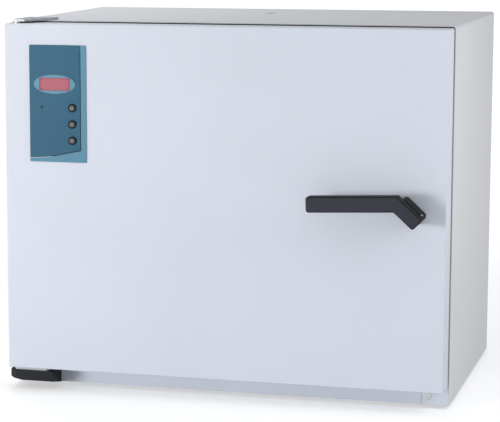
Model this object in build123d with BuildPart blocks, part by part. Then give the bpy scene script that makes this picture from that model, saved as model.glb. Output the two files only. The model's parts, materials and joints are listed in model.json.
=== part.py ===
from build123d import *

import os
from math import cos, radians, sin

os.makedirs("parts", exist_ok=True)

# A bench-top drying cabinet. Millimetres, +X to the right, +Y to the back, +Z up.
# The origin is on the bench, under the middle of the whole object.

# Casing
casing_width = 650.0
casing_height = 540.0
casing_depth = 412.0
casing_sheet = 1.2
casing_bend_radius = 4.0
casing_flange_width = 16.0
sheet_clearance = 0.2
base_sheet = 1.5
vent_from_centre = -5.0
vent_from_chamber_back = 60.0
vent_bore = 14.0
vent_wall = 1.5
vent_flange_width = 7.0
vent_clearance = 0.3

# Feet
foot_height = 4.0
foot_diameter = 24.0
foot_inset = 42.0
foot_chamfer = 1.0
foot_stud_diameter = 6.0
foot_stud_length = 9.0
foot_stud_clearance = 0.3

# Chamber, set in from the casing on every side by the insulation round it
chamber_side_wall = 85.0
chamber_roof_depth = 84.0
chamber_rear_depth = 72.0
chamber_floor_height = 96.0
liner_sheet = 0.8
liner_flange_width = 11.0
insulation_clearance = 0.5

# Front frame and the rail under the door
frame_sheet = 1.5
frame_top_gap = 2.0
frame_flange_depth = 12.0
lower_rail_height = 27.0
rail_sheet = 1.2
rail_flange_depth = 14.0
rail_end_width = 38.0
rail_seam = 0.4
rail_screw_from_seam = 8.5
rail_screw_head_diameter = 10.0
rail_screw_head_height = 1.0
rail_screw_shank_diameter = 5.0
rail_screw_length = 9.0
rail_socket_width = 3.0
rail_socket_depth = 0.7
screw_clearance = 0.1

# Rear panel
rear_flange_width = 15.0
rear_screw_columns = 4
rear_screw_rows = 3
rear_screw_head_diameter = 7.0
rear_screw_head_height = 2.0
rear_screw_shank_diameter = 3.5
rear_screw_length = 6.0
rear_slot_count = 10
rear_slot_pitch = 12.0
rear_slot_width = 4.0
rear_slot_length = 18.0
rear_slot_height = 19.0
rear_slots_from_centre = -110.0

# Mains gland
gland_from_side = 95.0
gland_above_base = 20.0
gland_bore = 9.0
gland_thread_diameter = 16.0
gland_thread_length = 10.0
gland_nut_width = 20.0
gland_nut_height = 6.0
gland_dome_diameter = 18.0
gland_dome_height = 12.0
gland_lock_nut_height = 4.0
gland_edge_radius = 3.0

# Wiring space under the insulation
tray_height = 34.0
tray_sheet = 1.0
tray_side_clearance = 4.0
back_space = 12.0
terminal_length = 48.0
terminal_depth = 20.0
terminal_height = 18.0
terminal_poles = 3
terminal_screw_diameter = 6.0
terminal_screw_depth = 4.0
terminal_from_side = 145.0
wiring_from_back = 70.0
relay_length = 58.0
relay_depth = 45.0
relay_height = 23.0
relay_from_centre = 40.0
relay_base_height = 3.0
relay_base_margin = 5.0
relay_corner_radius = 3.0

# Heating element, a tube folded back and forth under the floor guard
element_diameter = 6.5
element_side_margin = 50.0
element_pitch = 60.0
element_height = 14.0
element_from_front = 60.0
element_from_back = 45.0
element_lead = 24.0
element_hole_clearance = 0.5
support_thickness = 2.0
support_from_front = 100.0
support_from_back = 100.0
support_overhang = 22.0
support_notch_clearance = 0.15

# Floor guard, a slotted sheet over the heating element
guard_height = 28.0
guard_sheet = 1.0
guard_side_clearance = 4.0
guard_front_clearance = 26.0
guard_back_clearance = 20.0
guard_lip_depth = 16.0
guard_slot_margin = 15.0
guard_slot_length = 44.0
guard_slot_width = 8.0
guard_slot_pitch_x = 48.0
guard_slot_pitch_y = 64.0

# Shelf racks and wire shelves
rack_first_level = 60.0
rack_top_clearance = 50.0
rack_pitch = 56.0
rack_post_width = 14.0
rack_post_thickness = 1.5
rack_post_inset = 20.0
rack_from_front = 30.0
rack_from_back = 10.0
rack_post_overrun = 22.0
rack_wall_gap = 0.2
channel_depth = 12.0
channel_height = 11.0
channel_sheet = 1.0
shelf_rod_diameter = 5.0
shelf_wire_diameter = 2.6
shelf_wires = 13
shelf_corner_radius = 12.0
shelf_side_clearance = 0.6
shelf_seat_clearance = 0.2
shelf_end_clearance = 6.0

# Temperature probe
probe_diameter = 5.0
probe_reach = 60.0
probe_tail = 25.0
probe_collar_diameter = 14.0
probe_collar_height = 5.0
probe_from_side = 75.0
probe_below_top = 34.0
probe_clearance = 0.2

# Door
door_thickness = 42.0
door_gap = 4.0
door_side_inset = 1.5
door_top_inset = 2.5
door_bottom_gap = 2.0
door_sheet = 1.2
door_edge_radius = 1.6
door_corner_radius = 2.2
door_flange_width = 18.0
inner_panel_sheet = 1.0
inner_panel_margin = 2.5
plug_depth = 22.0
plug_clearance = 8.0
plug_edge_radius = 3.0
plug_corner_radius = 8.0
gasket_offset = 3.0
gasket_width = 10.0
gasket_clearance = 0.3
gasket_edge_radius = 1.5
panel_screw_head_diameter = 7.0
panel_screw_head_height = 1.6
panel_screw_shank_diameter = 3.5
panel_screw_length = 6.0
panel_screw_inset = 9.0
panel_screw_columns = 4
panel_screw_rows = 3

# Door hinge
pin_from_door_side = 13.5
pin_from_door_front = 18.0
pin_diameter = 8.0
pin_insertion = 14.0
bush_diameter = 12.0
bush_flange_diameter = 16.0
bush_flange_height = 0.7
bush_running_clearance = 0.05
hinge_plate_thickness = 3.0
hinge_plate_side_inset = 10.0
hinge_plate_length = 47.0
hinge_plate_reach_back = 37.0
hinge_plate_corner_back = 9.0
hinge_plate_tip_margin = 7.0
hinge_plate_tip_width = 20.0
hinge_plate_corner_radius = 3.0
hinge_screw_diameter = 5.0
hinge_screw_head_diameter = 9.0
hinge_screw_length = 6.0
hinge_screw_pitch = 30.0
hinge_screw_from_front = 24.0
bracket_thickness = 3.0
bracket_width = 56.0
bracket_side_inset = 7.0
bracket_reach = 40.0
bracket_leg_height = 13.5
bracket_corner_radius = 6.0
cover_side_inset = 1.5
cover_length = 66.5
cover_reach = 43.0
cover_wall = 2.0
cover_back_lift = 0.5
cover_front_lift = 8.2
cover_bevel_height = 6.2
cover_bevel_depth = 6.0
cover_nose_width = 9.0
cover_nose_depth = 7.0
cover_end_lift = 13.5
cover_end_slope_length = 41.0

# Lever, cranked by 45 degrees and drooping a little, with its block and spindle
spindle_from_chamber = 36.0
spindle_height_on_door = 258.0
spindle_diameter = 10.0
spindle_running_clearance = 0.05
sleeve_wall = 2.0
sleeve_flange_diameter = 22.0
sleeve_flange_height = 1.5
lever_crank_angle = 45.0
lever_droop = 2.3
grip_length = 127.0
grip_height = 22.2
grip_depth = 18.0
grip_corner_radius = 4.0
lever_edge_radius = 2.5
leg_low_side = 10.8
leg_high_side = 8.7
leg_above_spindle = 20.5
leg_below_spindle = 20.0
hub_length = 41.0
hub_width = 20.0
hub_depth = 28.0
hub_gap = 0.5
hub_corner_radius = 6.0
hub_bore_depth = 20.0
lever_pin_diameter = 4.0
lever_pin_proud = 0.3
lever_pin_from_spindle = 14.0
lever_pin_from_grip = 4.0
lever_pin_length = 12.0
lever_pin_chamfer = 0.3

# Latch behind the door
latch_hole_diameter = 40.0
hook_gap = 6.0
hook_thickness = 4.0
hook_boss_diameter = 17.0
hook_length = 17.0
hook_width = 8.0
hook_tip_radius = 2.0
spindle_screw_diameter = 12.0
spindle_screw_height = 3.0
spindle_screw_shank = 5.0
spindle_screw_length = 12.0
strike_box_size = 44.0
strike_box_depth = 21.0
strike_box_sheet = 1.0
catch_sheet = 0.6
catch_width = 8.0
catch_bite = 2.0
catch_bend_radius = 1.0

# Fascia
fascia_from_door_side = 38.5
fascia_from_door_top = 30.0
fascia_width = 86.0
fascia_height = 169.5
fascia_thickness = 1.4
fascia_corner_radius = 2.0
fascia_groove = 1.0
fascia_window_margin = 8.0
trim_side_width = 8.0
trim_corner_height = 17.0
trim_kink_from_side = 26.5
trim_kink_height = 6.5
trim_side_height = 4.6
bezel_width = 63.0
bezel_height = 27.5
bezel_thickness = 0.8
bezel_from_side = 38.5
bezel_from_top = 56.5
window_width = 46.0
window_height = 18.0
window_thickness = 2.6
window_recess = 0.3
window_clearance = 0.1
module_margin = 2.0
led_diameter = 3.0
led_clearance = 0.3
led_from_side = 18.3
led_from_top = 90.0
led_below_face = 0.2
led_dome_radius = 1.4
led_spacer_diameter = 4.6
led_spacer_gap = 1.0

# Electronics behind the fascia
box_depth = 29.0
box_sheet = 1.0
box_margin = 3.0
board_thickness = 1.6
board_behind_skin = 11.0
board_margin = 1.5
standoff_diameter = 6.0
standoff_inset = 6.0
switch_size = 6.0
switch_height = 4.0

# Push buttons
button_count = 3
button_from_side = 65.0
button_from_top = 90.3
button_pitch = 23.7
button_travel = 1.0
button_cap_diameter = 7.4
button_cap_proud = 1.0
button_cap_edge_radius = 1.2
button_clearance = 0.2
button_flange_diameter = 10.0
button_flange_height = 1.2
button_flange_gap = 0.3
button_stem_diameter = 3.6
button_switch_gap = 0.2
button_ring_diameter = 12.3
button_ring_height = 2.2
button_ring_chamfer = 1.0

# Heights, from the bench up
casing_bottom = foot_height
casing_top = casing_bottom + casing_height
casing_floor = casing_bottom + casing_sheet
casing_inner_top = casing_top - casing_sheet
casing_inner_width = casing_width - 2 * casing_sheet
base_top = casing_floor + base_sheet
rail_top = casing_bottom + lower_rail_height
door_bottom = rail_top + door_bottom_gap
door_top = casing_top - door_top_inset
door_height = door_top - door_bottom
door_centre_height = (door_top + door_bottom) / 2
chamber_bottom = casing_bottom + chamber_floor_height
chamber_top = casing_top - chamber_roof_depth
chamber_height = chamber_top - chamber_bottom
chamber_width = casing_width - 2 * chamber_side_wall
chamber_centre_height = (chamber_bottom + chamber_top) / 2
tray_top = casing_bottom + tray_height

# Depths, from the lever at the front to the gland at the back
lever_reach = hub_gap + hub_depth + grip_depth
gland_reach = gland_nut_height + gland_dome_height
overall_depth = lever_reach + door_thickness + door_gap + casing_depth + gland_reach
door_front = -overall_depth / 2 + lever_reach
door_back = door_front + door_thickness
casing_front = door_back + door_gap
casing_back = casing_front + casing_depth
casing_middle = (casing_front + casing_back) / 2
frame_back = casing_front + frame_sheet
chamber_back = casing_back - chamber_rear_depth
vent_place = (vent_from_centre, chamber_back - vent_from_chamber_back)
liner_back = chamber_back + liner_sheet
rear_panel_front = casing_back - casing_sheet
skin_back = door_back - inner_panel_sheet
skin_inner_front = door_front + door_sheet
fascia_front = door_front - fascia_thickness
bezel_front = fascia_front - bezel_thickness

# Places on the door
door_width = casing_width - 2 * door_side_inset
door_left = -door_width / 2
pin_x = door_left + pin_from_door_side
pin_y = door_front + pin_from_door_front
spindle_x = chamber_width / 2 + spindle_from_chamber
spindle_z = door_bottom + spindle_height_on_door
fascia_left = door_left + fascia_from_door_side
fascia_right = fascia_left + fascia_width
fascia_top = door_top - fascia_from_door_top
fascia_bottom = fascia_top - fascia_height
fascia_centre = ((fascia_left + fascia_right) / 2, (fascia_bottom + fascia_top) / 2)
bezel_centre = (fascia_left + bezel_from_side, fascia_top - bezel_from_top)
led_centre = (fascia_left + led_from_side, fascia_top - led_from_top)
button_x = fascia_left + button_from_side
button_heights = [fascia_top - button_from_top - button_pitch * i for i in range(button_count)]
button_centres = [(button_x, z) for z in button_heights]
board_front = skin_inner_front + board_behind_skin
board_back = board_front + board_thickness
box_back = skin_inner_front + box_depth
sleeve_diameter = spindle_diameter + 2 * (spindle_running_clearance + sleeve_wall)


def facing_front(y):
    """A plane across the cabinet at depth y: its x runs right and its y up, and it grows to the front."""
    return Plane.XZ.offset(-y)


# Screws that hold the rear panel to the casing's rear flange
rear_screw_span_x = casing_inner_width - rear_flange_width
rear_screw_span_z = casing_inner_top - casing_floor - rear_flange_width
rear_screw_places = [
    (
        (i / (rear_screw_columns - 1) - 0.5) * rear_screw_span_x,
        (casing_floor + casing_inner_top) / 2 + (j / (rear_screw_rows - 1) - 0.5) * rear_screw_span_z,
    )
    for i in range(rear_screw_columns)
    for j in range(rear_screw_rows)
    if i in (0, rear_screw_columns - 1) or j == rear_screw_rows - 1
]

# Places of the two countersunk screws in the top hinge plate
hinge_plate_left = -casing_width / 2 + hinge_plate_side_inset
hinge_plate_middle = hinge_plate_left + hinge_plate_length / 2
plate_screw_places = [
    (hinge_plate_middle + side * hinge_screw_pitch / 2, casing_front + hinge_screw_from_front)
    for side in (-1, 1)
]

# Casing: one sheet bent over the top and both sides, with flanges under the base and at the back
with BuildPart() as casing_shell:
    with BuildSketch(facing_front(casing_back)) as casing_section:
        with Locations((0, casing_bottom + casing_height / 2)):
            Rectangle(casing_width, casing_height)
        fillet(casing_section.vertices().group_by(Axis.Y)[-1], casing_bend_radius)
        offset(amount=-casing_sheet, mode=Mode.SUBTRACT)
        with Locations((0, casing_bottom)):
            Rectangle(casing_width - 2 * casing_flange_width, 4 * casing_sheet, mode=Mode.SUBTRACT)
    extrude(amount=casing_depth)
    with BuildSketch(facing_front(rear_panel_front)):
        with Locations((0, (casing_floor + casing_inner_top) / 2)):
            Rectangle(casing_inner_width, casing_inner_top - casing_floor)
            Rectangle(
                casing_inner_width - 2 * rear_flange_width,
                casing_inner_top - casing_floor - 2 * rear_flange_width,
                mode=Mode.SUBTRACT,
            )
        with Locations((0, casing_floor)):
            Rectangle(
                casing_inner_width - 2 * rear_flange_width, 4 * rear_flange_width, mode=Mode.SUBTRACT
            )
        with Locations(*rear_screw_places):
            Circle(rear_screw_shank_diameter / 2 + screw_clearance, mode=Mode.SUBTRACT)
    extrude(amount=casing_sheet)
    with Locations((*vent_place, casing_top)):
        Hole(vent_bore / 2 + vent_wall + vent_clearance, depth=2 * casing_sheet)
    with Locations(*[(x, y, casing_top) for x, y in plate_screw_places]):
        Hole(hinge_screw_diameter / 2 + screw_clearance, depth=2 * casing_sheet)
casing_shell.part.label = "casing_shell"
export_step(casing_shell.part, "parts/casing_shell.step")

# Rear panel, with cooling slots into the wiring space and a hole for the mains gland
gland_centre = (casing_width / 2 - gland_from_side, casing_bottom + gland_above_base)
with BuildPart() as rear_panel:
    with BuildSketch(facing_front(casing_back)) as panel_outline:
        with Locations((0, (casing_floor + casing_inner_top) / 2)):
            Rectangle(
                casing_inner_width - 2 * sheet_clearance,
                casing_inner_top - casing_floor - 2 * sheet_clearance,
            )
        fillet(panel_outline.vertices().group_by(Axis.Y)[-1], casing_bend_radius)
        with Locations((rear_slots_from_centre, casing_bottom + rear_slot_height)):
            with GridLocations(rear_slot_pitch, 1, rear_slot_count, 1):
                SlotOverall(rear_slot_length, rear_slot_width, rotation=90, mode=Mode.SUBTRACT)
        with Locations(gland_centre):
            Circle(gland_thread_diameter / 2 + screw_clearance, mode=Mode.SUBTRACT)
        with Locations(*rear_screw_places):
            Circle(rear_screw_shank_diameter / 2 + screw_clearance, mode=Mode.SUBTRACT)
    extrude(amount=casing_sheet)
rear_panel.part.label = "rear_panel"
export_step(rear_panel.part, "parts/rear_panel.step")

with BuildPart() as rear_screws:
    with BuildSketch(facing_front(casing_back)):
        with Locations(*rear_screw_places):
            Circle(rear_screw_head_diameter / 2)
    extrude(amount=-rear_screw_head_height)
    with BuildSketch(facing_front(casing_back)):
        with Locations(*rear_screw_places):
            Circle(rear_screw_shank_diameter / 2)
    extrude(amount=rear_screw_length)
rear_screws.part.label = "rear_screws"
export_step(rear_screws.part, "parts/rear_screws.step")

# Base plate, lying on the casing's bottom flanges, with holes for the studs of the feet
foot_span_x = casing_width - 2 * foot_inset
foot_span_y = casing_depth - 2 * foot_inset
base_front = casing_front + rail_flange_depth + sheet_clearance
base_back = rear_panel_front - casing_sheet - sheet_clearance
with BuildPart() as base_plate:
    with BuildSketch(Plane.XY.offset(casing_floor)):
        with Locations((0, (base_front + base_back) / 2)):
            Rectangle(casing_inner_width - 2 * sheet_clearance, base_back - base_front)
        with Locations((0, casing_middle)):
            with GridLocations(foot_span_x, foot_span_y, 2, 2):
                Circle(foot_stud_diameter / 2 + foot_stud_clearance, mode=Mode.SUBTRACT)
    extrude(amount=base_sheet)
base_plate.part.label = "base_plate"
export_step(base_plate.part, "parts/base_plate.step")

# Four rubber feet, each a pad with its own stud through the base plate
with BuildPart() as feet:
    with BuildSketch():
        with Locations((0, casing_middle)):
            with GridLocations(foot_span_x, foot_span_y, 2, 2):
                Circle(foot_diameter / 2)
    extrude(amount=casing_floor)
    chamfer(feet.edges().group_by(Axis.Z)[0], foot_chamfer)
    with BuildSketch(Plane.XY.offset(casing_floor)):
        with Locations((0, casing_middle)):
            with GridLocations(foot_span_x, foot_span_y, 2, 2):
                Circle(foot_stud_diameter / 2)
    extrude(amount=foot_stud_length)
feet.part.label = "feet"
export_step(feet.part, "parts/feet.step")

# Front frame round the chamber's mouth, with a flange turned back along its top and sides
frame_width = casing_inner_width - 2 * sheet_clearance
frame_top = casing_inner_top - frame_top_gap
frame_height = frame_top - rail_top
frame_centre_height = (rail_top + frame_top) / 2
with BuildPart() as front_frame:
    with BuildSketch(facing_front(frame_back)) as frame_outline:
        with Locations((0, frame_centre_height)):
            Rectangle(frame_width, frame_height)
        fillet(frame_outline.vertices().group_by(Axis.Y)[-1], casing_bend_radius)
        with Locations((0, chamber_centre_height)):
            Rectangle(chamber_width, chamber_height, mode=Mode.SUBTRACT)
        with Locations((spindle_x, spindle_z)):
            Circle(latch_hole_diameter / 2, mode=Mode.SUBTRACT)
    extrude(amount=frame_sheet)
    with BuildSketch(facing_front(frame_back)) as frame_flange:
        with Locations((0, frame_centre_height)):
            Rectangle(frame_width, frame_height)
        fillet(frame_flange.vertices().group_by(Axis.Y)[-1], casing_bend_radius)
        with Locations((0, frame_centre_height - frame_sheet)):
            Rectangle(frame_width - 2 * frame_sheet, frame_height, mode=Mode.SUBTRACT)
    extrude(amount=-frame_flange_depth)
front_frame.part.label = "front_frame"
export_step(front_frame.part, "parts/front_frame.step")

# Rail under the door, a channel in two lengths with a seam near the right end
rail_left = -casing_inner_width / 2 + sheet_clearance
rail_right = -rail_left
seam_x = rail_right - rail_end_width
rail_screw_centre = (seam_x + rail_screw_from_seam, (casing_floor + rail_top) / 2)


def build_rail(left, right):
    """A length of the rail's channel section, open to the back, from left to right."""
    with BuildPart() as rail:
        with BuildSketch(Plane.YZ.offset(left)):
            with Locations((casing_front + rail_flange_depth / 2, (casing_floor + rail_top) / 2)):
                Rectangle(rail_flange_depth, rail_top - casing_floor)
            with Locations(
                (casing_front + rail_flange_depth / 2 + rail_sheet, (casing_floor + rail_top) / 2)
            ):
                Rectangle(
                    rail_flange_depth, rail_top - casing_floor - 2 * rail_sheet, mode=Mode.SUBTRACT
                )
        extrude(amount=right - left)
    return rail.part


bracket_top = door_bottom - bush_flange_height - gasket_clearance
bracket_bottom = bracket_top - bracket_thickness
bracket_left = -casing_width / 2 + bracket_side_inset
bracket_middle = bracket_left + bracket_width / 2
leg_screw_height = bracket_top - bracket_leg_height * 0.6
leg_screw_places = [
    (bracket_middle + side * hinge_screw_pitch / 2, leg_screw_height) for side in (-1, 1)
]
with BuildPart() as lower_rail:
    add(build_rail(rail_left, seam_x - rail_seam))
    with BuildSketch(facing_front(casing_front + rail_sheet)):
        with Locations(*leg_screw_places):
            Circle(hinge_screw_diameter / 2 + screw_clearance)
    extrude(amount=rail_sheet, mode=Mode.SUBTRACT)
lower_rail.part.label = "lower_rail"
export_step(lower_rail.part, "parts/lower_rail.step")

with BuildPart() as rail_end:
    add(build_rail(seam_x, rail_right))
    with BuildSketch(facing_front(casing_front + rail_sheet)):
        with Locations(rail_screw_centre):
            Circle(rail_screw_shank_diameter / 2 + screw_clearance)
    extrude(amount=rail_sheet, mode=Mode.SUBTRACT)
rail_end.part.label = "rail_end"
export_step(rail_end.part, "parts/rail_end.step")

# Socket-head screw in the rail's end piece
with BuildPart() as rail_screw:
    with BuildSketch(facing_front(casing_front)):
        with Locations(rail_screw_centre):
            Circle(rail_screw_head_diameter / 2)
    extrude(amount=rail_screw_head_height)
    with BuildSketch(facing_front(casing_front)):
        with Locations(rail_screw_centre):
            Circle(rail_screw_shank_diameter / 2)
    extrude(amount=-rail_screw_length)
    with BuildSketch(facing_front(casing_front - rail_screw_head_height)):
        with Locations(rail_screw_centre):
            RegularPolygon(rail_socket_width / 2, 6, major_radius=False)
    extrude(amount=-rail_socket_depth, mode=Mode.SUBTRACT)
rail_screw.part.label = "rail_screw"
export_step(rail_screw.part, "parts/rail_screw.step")

# Chamber liner: a folded stainless box, open to the front, with a flange behind the front frame
element_height_z = chamber_bottom + element_height
element_passes = 2 * int((chamber_width / 2 - element_side_margin) // element_pitch)
element_span = (element_passes - 1) * element_pitch
probe_centre = (chamber_width / 2 - probe_from_side, chamber_top - probe_below_top)
with BuildPart() as chamber_liner:
    with BuildSketch(facing_front(chamber_back)):
        with Locations((0, chamber_centre_height)):
            Rectangle(chamber_width + 2 * liner_sheet, chamber_height + 2 * liner_sheet)
            Rectangle(chamber_width, chamber_height, mode=Mode.SUBTRACT)
    extrude(amount=chamber_back - frame_back)
    with BuildSketch(facing_front(frame_back + liner_sheet)):
        with Locations((0, chamber_centre_height)):
            Rectangle(chamber_width + 2 * liner_flange_width, chamber_height + 2 * liner_flange_width)
            Rectangle(chamber_width, chamber_height, mode=Mode.SUBTRACT)
    extrude(amount=liner_sheet)
    with Locations((*vent_place, chamber_top + liner_sheet)):
        Hole(vent_bore / 2, depth=2 * liner_sheet)
chamber_liner.part.label = "chamber_liner"
export_step(chamber_liner.part, "parts/chamber_liner.step")

# Back sheet welded over the liner's rear edge, with holes for the element's two ends and the probe
with BuildPart() as chamber_back_sheet:
    with BuildSketch(facing_front(liner_back)):
        with Locations((0, chamber_centre_height)):
            Rectangle(chamber_width + 2 * liner_sheet, chamber_height + 2 * liner_sheet)
        with Locations(
            (-element_span / 2, element_height_z),
            (element_span / 2, element_height_z),
        ):
            Circle(element_diameter / 2 + element_hole_clearance, mode=Mode.SUBTRACT)
        with Locations(probe_centre):
            Circle(probe_diameter / 2 + probe_clearance, mode=Mode.SUBTRACT)
    extrude(amount=liner_sheet)
chamber_back_sheet.part.label = "chamber_back_sheet"
export_step(chamber_back_sheet.part, "parts/chamber_back_sheet.step")

# Vent tube from the chamber's roof to the casing's top
with BuildPart() as vent_tube:
    with BuildSketch(Plane.XY.offset(chamber_top + liner_sheet)):
        with Locations(vent_place):
            Circle(vent_bore / 2 + vent_wall + vent_flange_width)
    extrude(amount=vent_wall)
    with BuildSketch(Plane.XY.offset(chamber_top + liner_sheet)):
        with Locations(vent_place):
            Circle(vent_bore / 2 + vent_wall)
    extrude(amount=casing_top - chamber_top - liner_sheet)
    with BuildSketch(Plane.XY.offset(casing_top)):
        with Locations(vent_place):
            Circle(vent_bore / 2)
    extrude(amount=chamber_top - casing_top, mode=Mode.SUBTRACT)
vent_tube.part.label = "vent_tube"
export_step(vent_tube.part, "parts/vent_tube.step")

# Tray that carries the insulation above the wiring space
tray_front = base_front + back_space
tray_back = rear_panel_front - back_space
with BuildPart() as insulation_tray:
    with BuildSketch(facing_front(tray_back)):
        with Locations((0, (base_top + tray_top) / 2)):
            Rectangle(casing_inner_width - 2 * tray_side_clearance, tray_top - base_top)
        with Locations((0, (base_top + tray_top) / 2 - tray_sheet)):
            Rectangle(
                casing_inner_width - 2 * tray_side_clearance - 2 * tray_sheet,
                tray_top - base_top,
                mode=Mode.SUBTRACT,
            )
    extrude(amount=tray_back - tray_front)
insulation_tray.part.label = "insulation_tray"
export_step(insulation_tray.part, "parts/insulation_tray.step")

# Mineral wool round the chamber and behind it
wool_width = frame_width - 2 * frame_sheet - 4 * insulation_clearance
wool_top = frame_top - frame_sheet - 2 * insulation_clearance
wool_height = wool_top - tray_top
wool_centre_height = (wool_top + tray_top) / 2
wool_front = frame_back + liner_sheet + insulation_clearance
with BuildPart() as insulation_wrap:
    with BuildSketch(facing_front(liner_back)):
        with Locations((0, wool_centre_height)):
            Rectangle(wool_width, wool_height)
        with Locations((0, chamber_centre_height)):
            Rectangle(
                chamber_width + 2 * (liner_sheet + insulation_clearance),
                chamber_height + 2 * (liner_sheet + insulation_clearance),
                mode=Mode.SUBTRACT,
            )
    extrude(amount=liner_back - wool_front)
    with BuildSketch(facing_front(frame_back)):
        with Locations((spindle_x, spindle_z)):
            Rectangle(
                strike_box_size + 2 * insulation_clearance, strike_box_size + 2 * insulation_clearance
            )
    extrude(amount=-strike_box_depth - insulation_clearance, mode=Mode.SUBTRACT)
    with BuildSketch(Plane.XY.offset(wool_top)):
        with Locations(vent_place):
            Circle(vent_bore / 2 + vent_wall + vent_flange_width + insulation_clearance)
    extrude(amount=chamber_top - wool_top, mode=Mode.SUBTRACT)
insulation_wrap.part.label = "insulation_wrap"
export_step(insulation_wrap.part, "parts/insulation_wrap.step")

with BuildPart() as insulation_back:
    with BuildSketch(facing_front(liner_back + insulation_clearance)):
        with Locations((0, wool_centre_height)):
            Rectangle(wool_width, wool_height)
        with Locations(
            (-element_span / 2, element_height_z),
            (element_span / 2, element_height_z),
        ):
            Circle(element_diameter / 2 + element_hole_clearance, mode=Mode.SUBTRACT)
        with Locations(probe_centre):
            Circle(probe_diameter / 2 + insulation_clearance, mode=Mode.SUBTRACT)
    extrude(amount=-(tray_back - liner_back - insulation_clearance))
insulation_back.part.label = "insulation_back"
export_step(insulation_back.part, "parts/insulation_back.step")

# Heating element: one tube folded to and fro, both ends leaving through the chamber's rear wall
element_front_y = casing_front + element_from_front + element_pitch / 2
element_back_y = chamber_back - element_from_back - element_pitch / 2
element_lead_y = liner_back + element_lead
with BuildPart() as heating_element:
    with BuildLine() as element_path:
        for i in range(element_passes):
            x = (i - (element_passes - 1) / 2) * element_pitch
            going_front = i % 2 == 0
            start_y = element_back_y if going_front else element_front_y
            end_y = element_front_y if going_front else element_back_y
            if i == 0:
                start_y = element_lead_y
            if i == element_passes - 1:
                end_y = element_lead_y
            Line((x, start_y, element_height_z), (x, end_y, element_height_z))
            if i < element_passes - 1:
                bulge = -1 if going_front else 1
                ThreePointArc(
                    (x, end_y, element_height_z),
                    (x + element_pitch / 2, end_y + bulge * element_pitch / 2, element_height_z),
                    (x + element_pitch, end_y, element_height_z),
                )
    with BuildSketch(facing_front(element_lead_y)):
        with Locations((-element_span / 2, element_height_z)):
            Circle(element_diameter / 2)
    sweep(path=element_path.wires()[0])
heating_element.part.label = "heating_element"
export_step(heating_element.part, "parts/heating_element.step")

# Two notched bars that hold the element off the chamber floor
support_places = [casing_front + support_from_front, chamber_back - support_from_back]
with BuildPart() as heater_supports:
    for support_y in support_places:
        with BuildSketch(facing_front(support_y + support_thickness / 2)):
            with Locations((0, (chamber_bottom + element_height_z) / 2)):
                Rectangle(element_span + 2 * support_overhang, element_height)
            with Locations((0, element_height_z)):
                with GridLocations(element_pitch, 1, element_passes, 1):
                    Circle(element_diameter / 2 + support_notch_clearance, mode=Mode.SUBTRACT)
        extrude(amount=support_thickness)
heater_supports.part.label = "heater_supports"
export_step(heater_supports.part, "parts/heater_supports.step")

# Floor guard: a slotted sheet on two folded legs, with a short lip at the front
guard_top = chamber_bottom + guard_height
guard_width = chamber_width - 2 * guard_side_clearance
guard_front = casing_front + guard_front_clearance
guard_back = chamber_back - guard_back_clearance
guard_slot_columns = int((guard_width - 2 * guard_slot_margin) // guard_slot_pitch_x)
guard_slot_rows = int((guard_back - guard_front - 2 * guard_slot_margin) // guard_slot_pitch_y)
with BuildPart() as floor_guard:
    with BuildSketch(facing_front(guard_back)):
        with Locations((0, (chamber_bottom + guard_top) / 2)):
            Rectangle(guard_width, guard_height)
        with Locations((0, (chamber_bottom + guard_top) / 2 - guard_sheet)):
            Rectangle(guard_width - 2 * guard_sheet, guard_height, mode=Mode.SUBTRACT)
    extrude(amount=guard_back - guard_front)
    with BuildSketch(facing_front(guard_front + guard_sheet)):
        with Locations((0, guard_top - guard_lip_depth / 2)):
            Rectangle(guard_width, guard_lip_depth)
    extrude(amount=guard_sheet)
    with BuildSketch(Plane.XY.offset(guard_top)):
        with Locations((0, (guard_front + guard_back) / 2)):
            with GridLocations(
                guard_slot_pitch_x, guard_slot_pitch_y, guard_slot_columns, guard_slot_rows
            ):
                SlotOverall(guard_slot_length, guard_slot_width, rotation=90)
    extrude(amount=-guard_sheet, mode=Mode.SUBTRACT)
floor_guard.part.label = "floor_guard"
export_step(floor_guard.part, "parts/floor_guard.step")

# Shelf racks: two posts and a stack of channels on each side wall
channel_outer_x = chamber_width / 2 - rack_wall_gap - rack_post_thickness
rack_front = casing_front + rack_from_front
rack_back = chamber_back - rack_from_back
rack_bottom = chamber_bottom + rack_first_level
rack_levels = 1 + int((chamber_height - rack_first_level - rack_top_clearance) // rack_pitch)
channel_floors = [rack_bottom + rack_pitch * level for level in range(rack_levels)]


def build_shelf_rack(side):
    """The rack on one side wall of the chamber: side is -1 for the left and 1 for the right."""
    with BuildPart() as rack:
        for channel_floor in channel_floors:
            channel_middle = channel_floor + channel_height / 2
            with BuildSketch(facing_front(rack_back)):
                with Locations((side * (channel_outer_x - channel_depth / 2), channel_middle)):
                    Rectangle(channel_depth, channel_height)
                with Locations(
                    (side * (channel_outer_x - channel_depth / 2 - channel_sheet), channel_middle)
                ):
                    Rectangle(channel_depth, channel_height - 2 * channel_sheet, mode=Mode.SUBTRACT)
            extrude(amount=rack_back - rack_front)
        post_bottom = channel_floors[0] - rack_post_overrun
        post_top = channel_floors[-1] + channel_height + rack_post_overrun
        with BuildSketch(Plane.XY.offset(post_bottom)):
            for post_y in (rack_front + rack_post_inset, rack_back - rack_post_inset):
                with Locations((side * (channel_outer_x + rack_post_thickness / 2), post_y)):
                    Rectangle(rack_post_thickness, rack_post_width)
        extrude(amount=post_top - post_bottom)
    return rack.part


for rack_name, rack_side in (("shelf_rack_left", -1), ("shelf_rack_right", 1)):
    shelf_rack = build_shelf_rack(rack_side)
    shelf_rack.label = rack_name
    export_step(shelf_rack, f"parts/{rack_name}.step")

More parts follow.
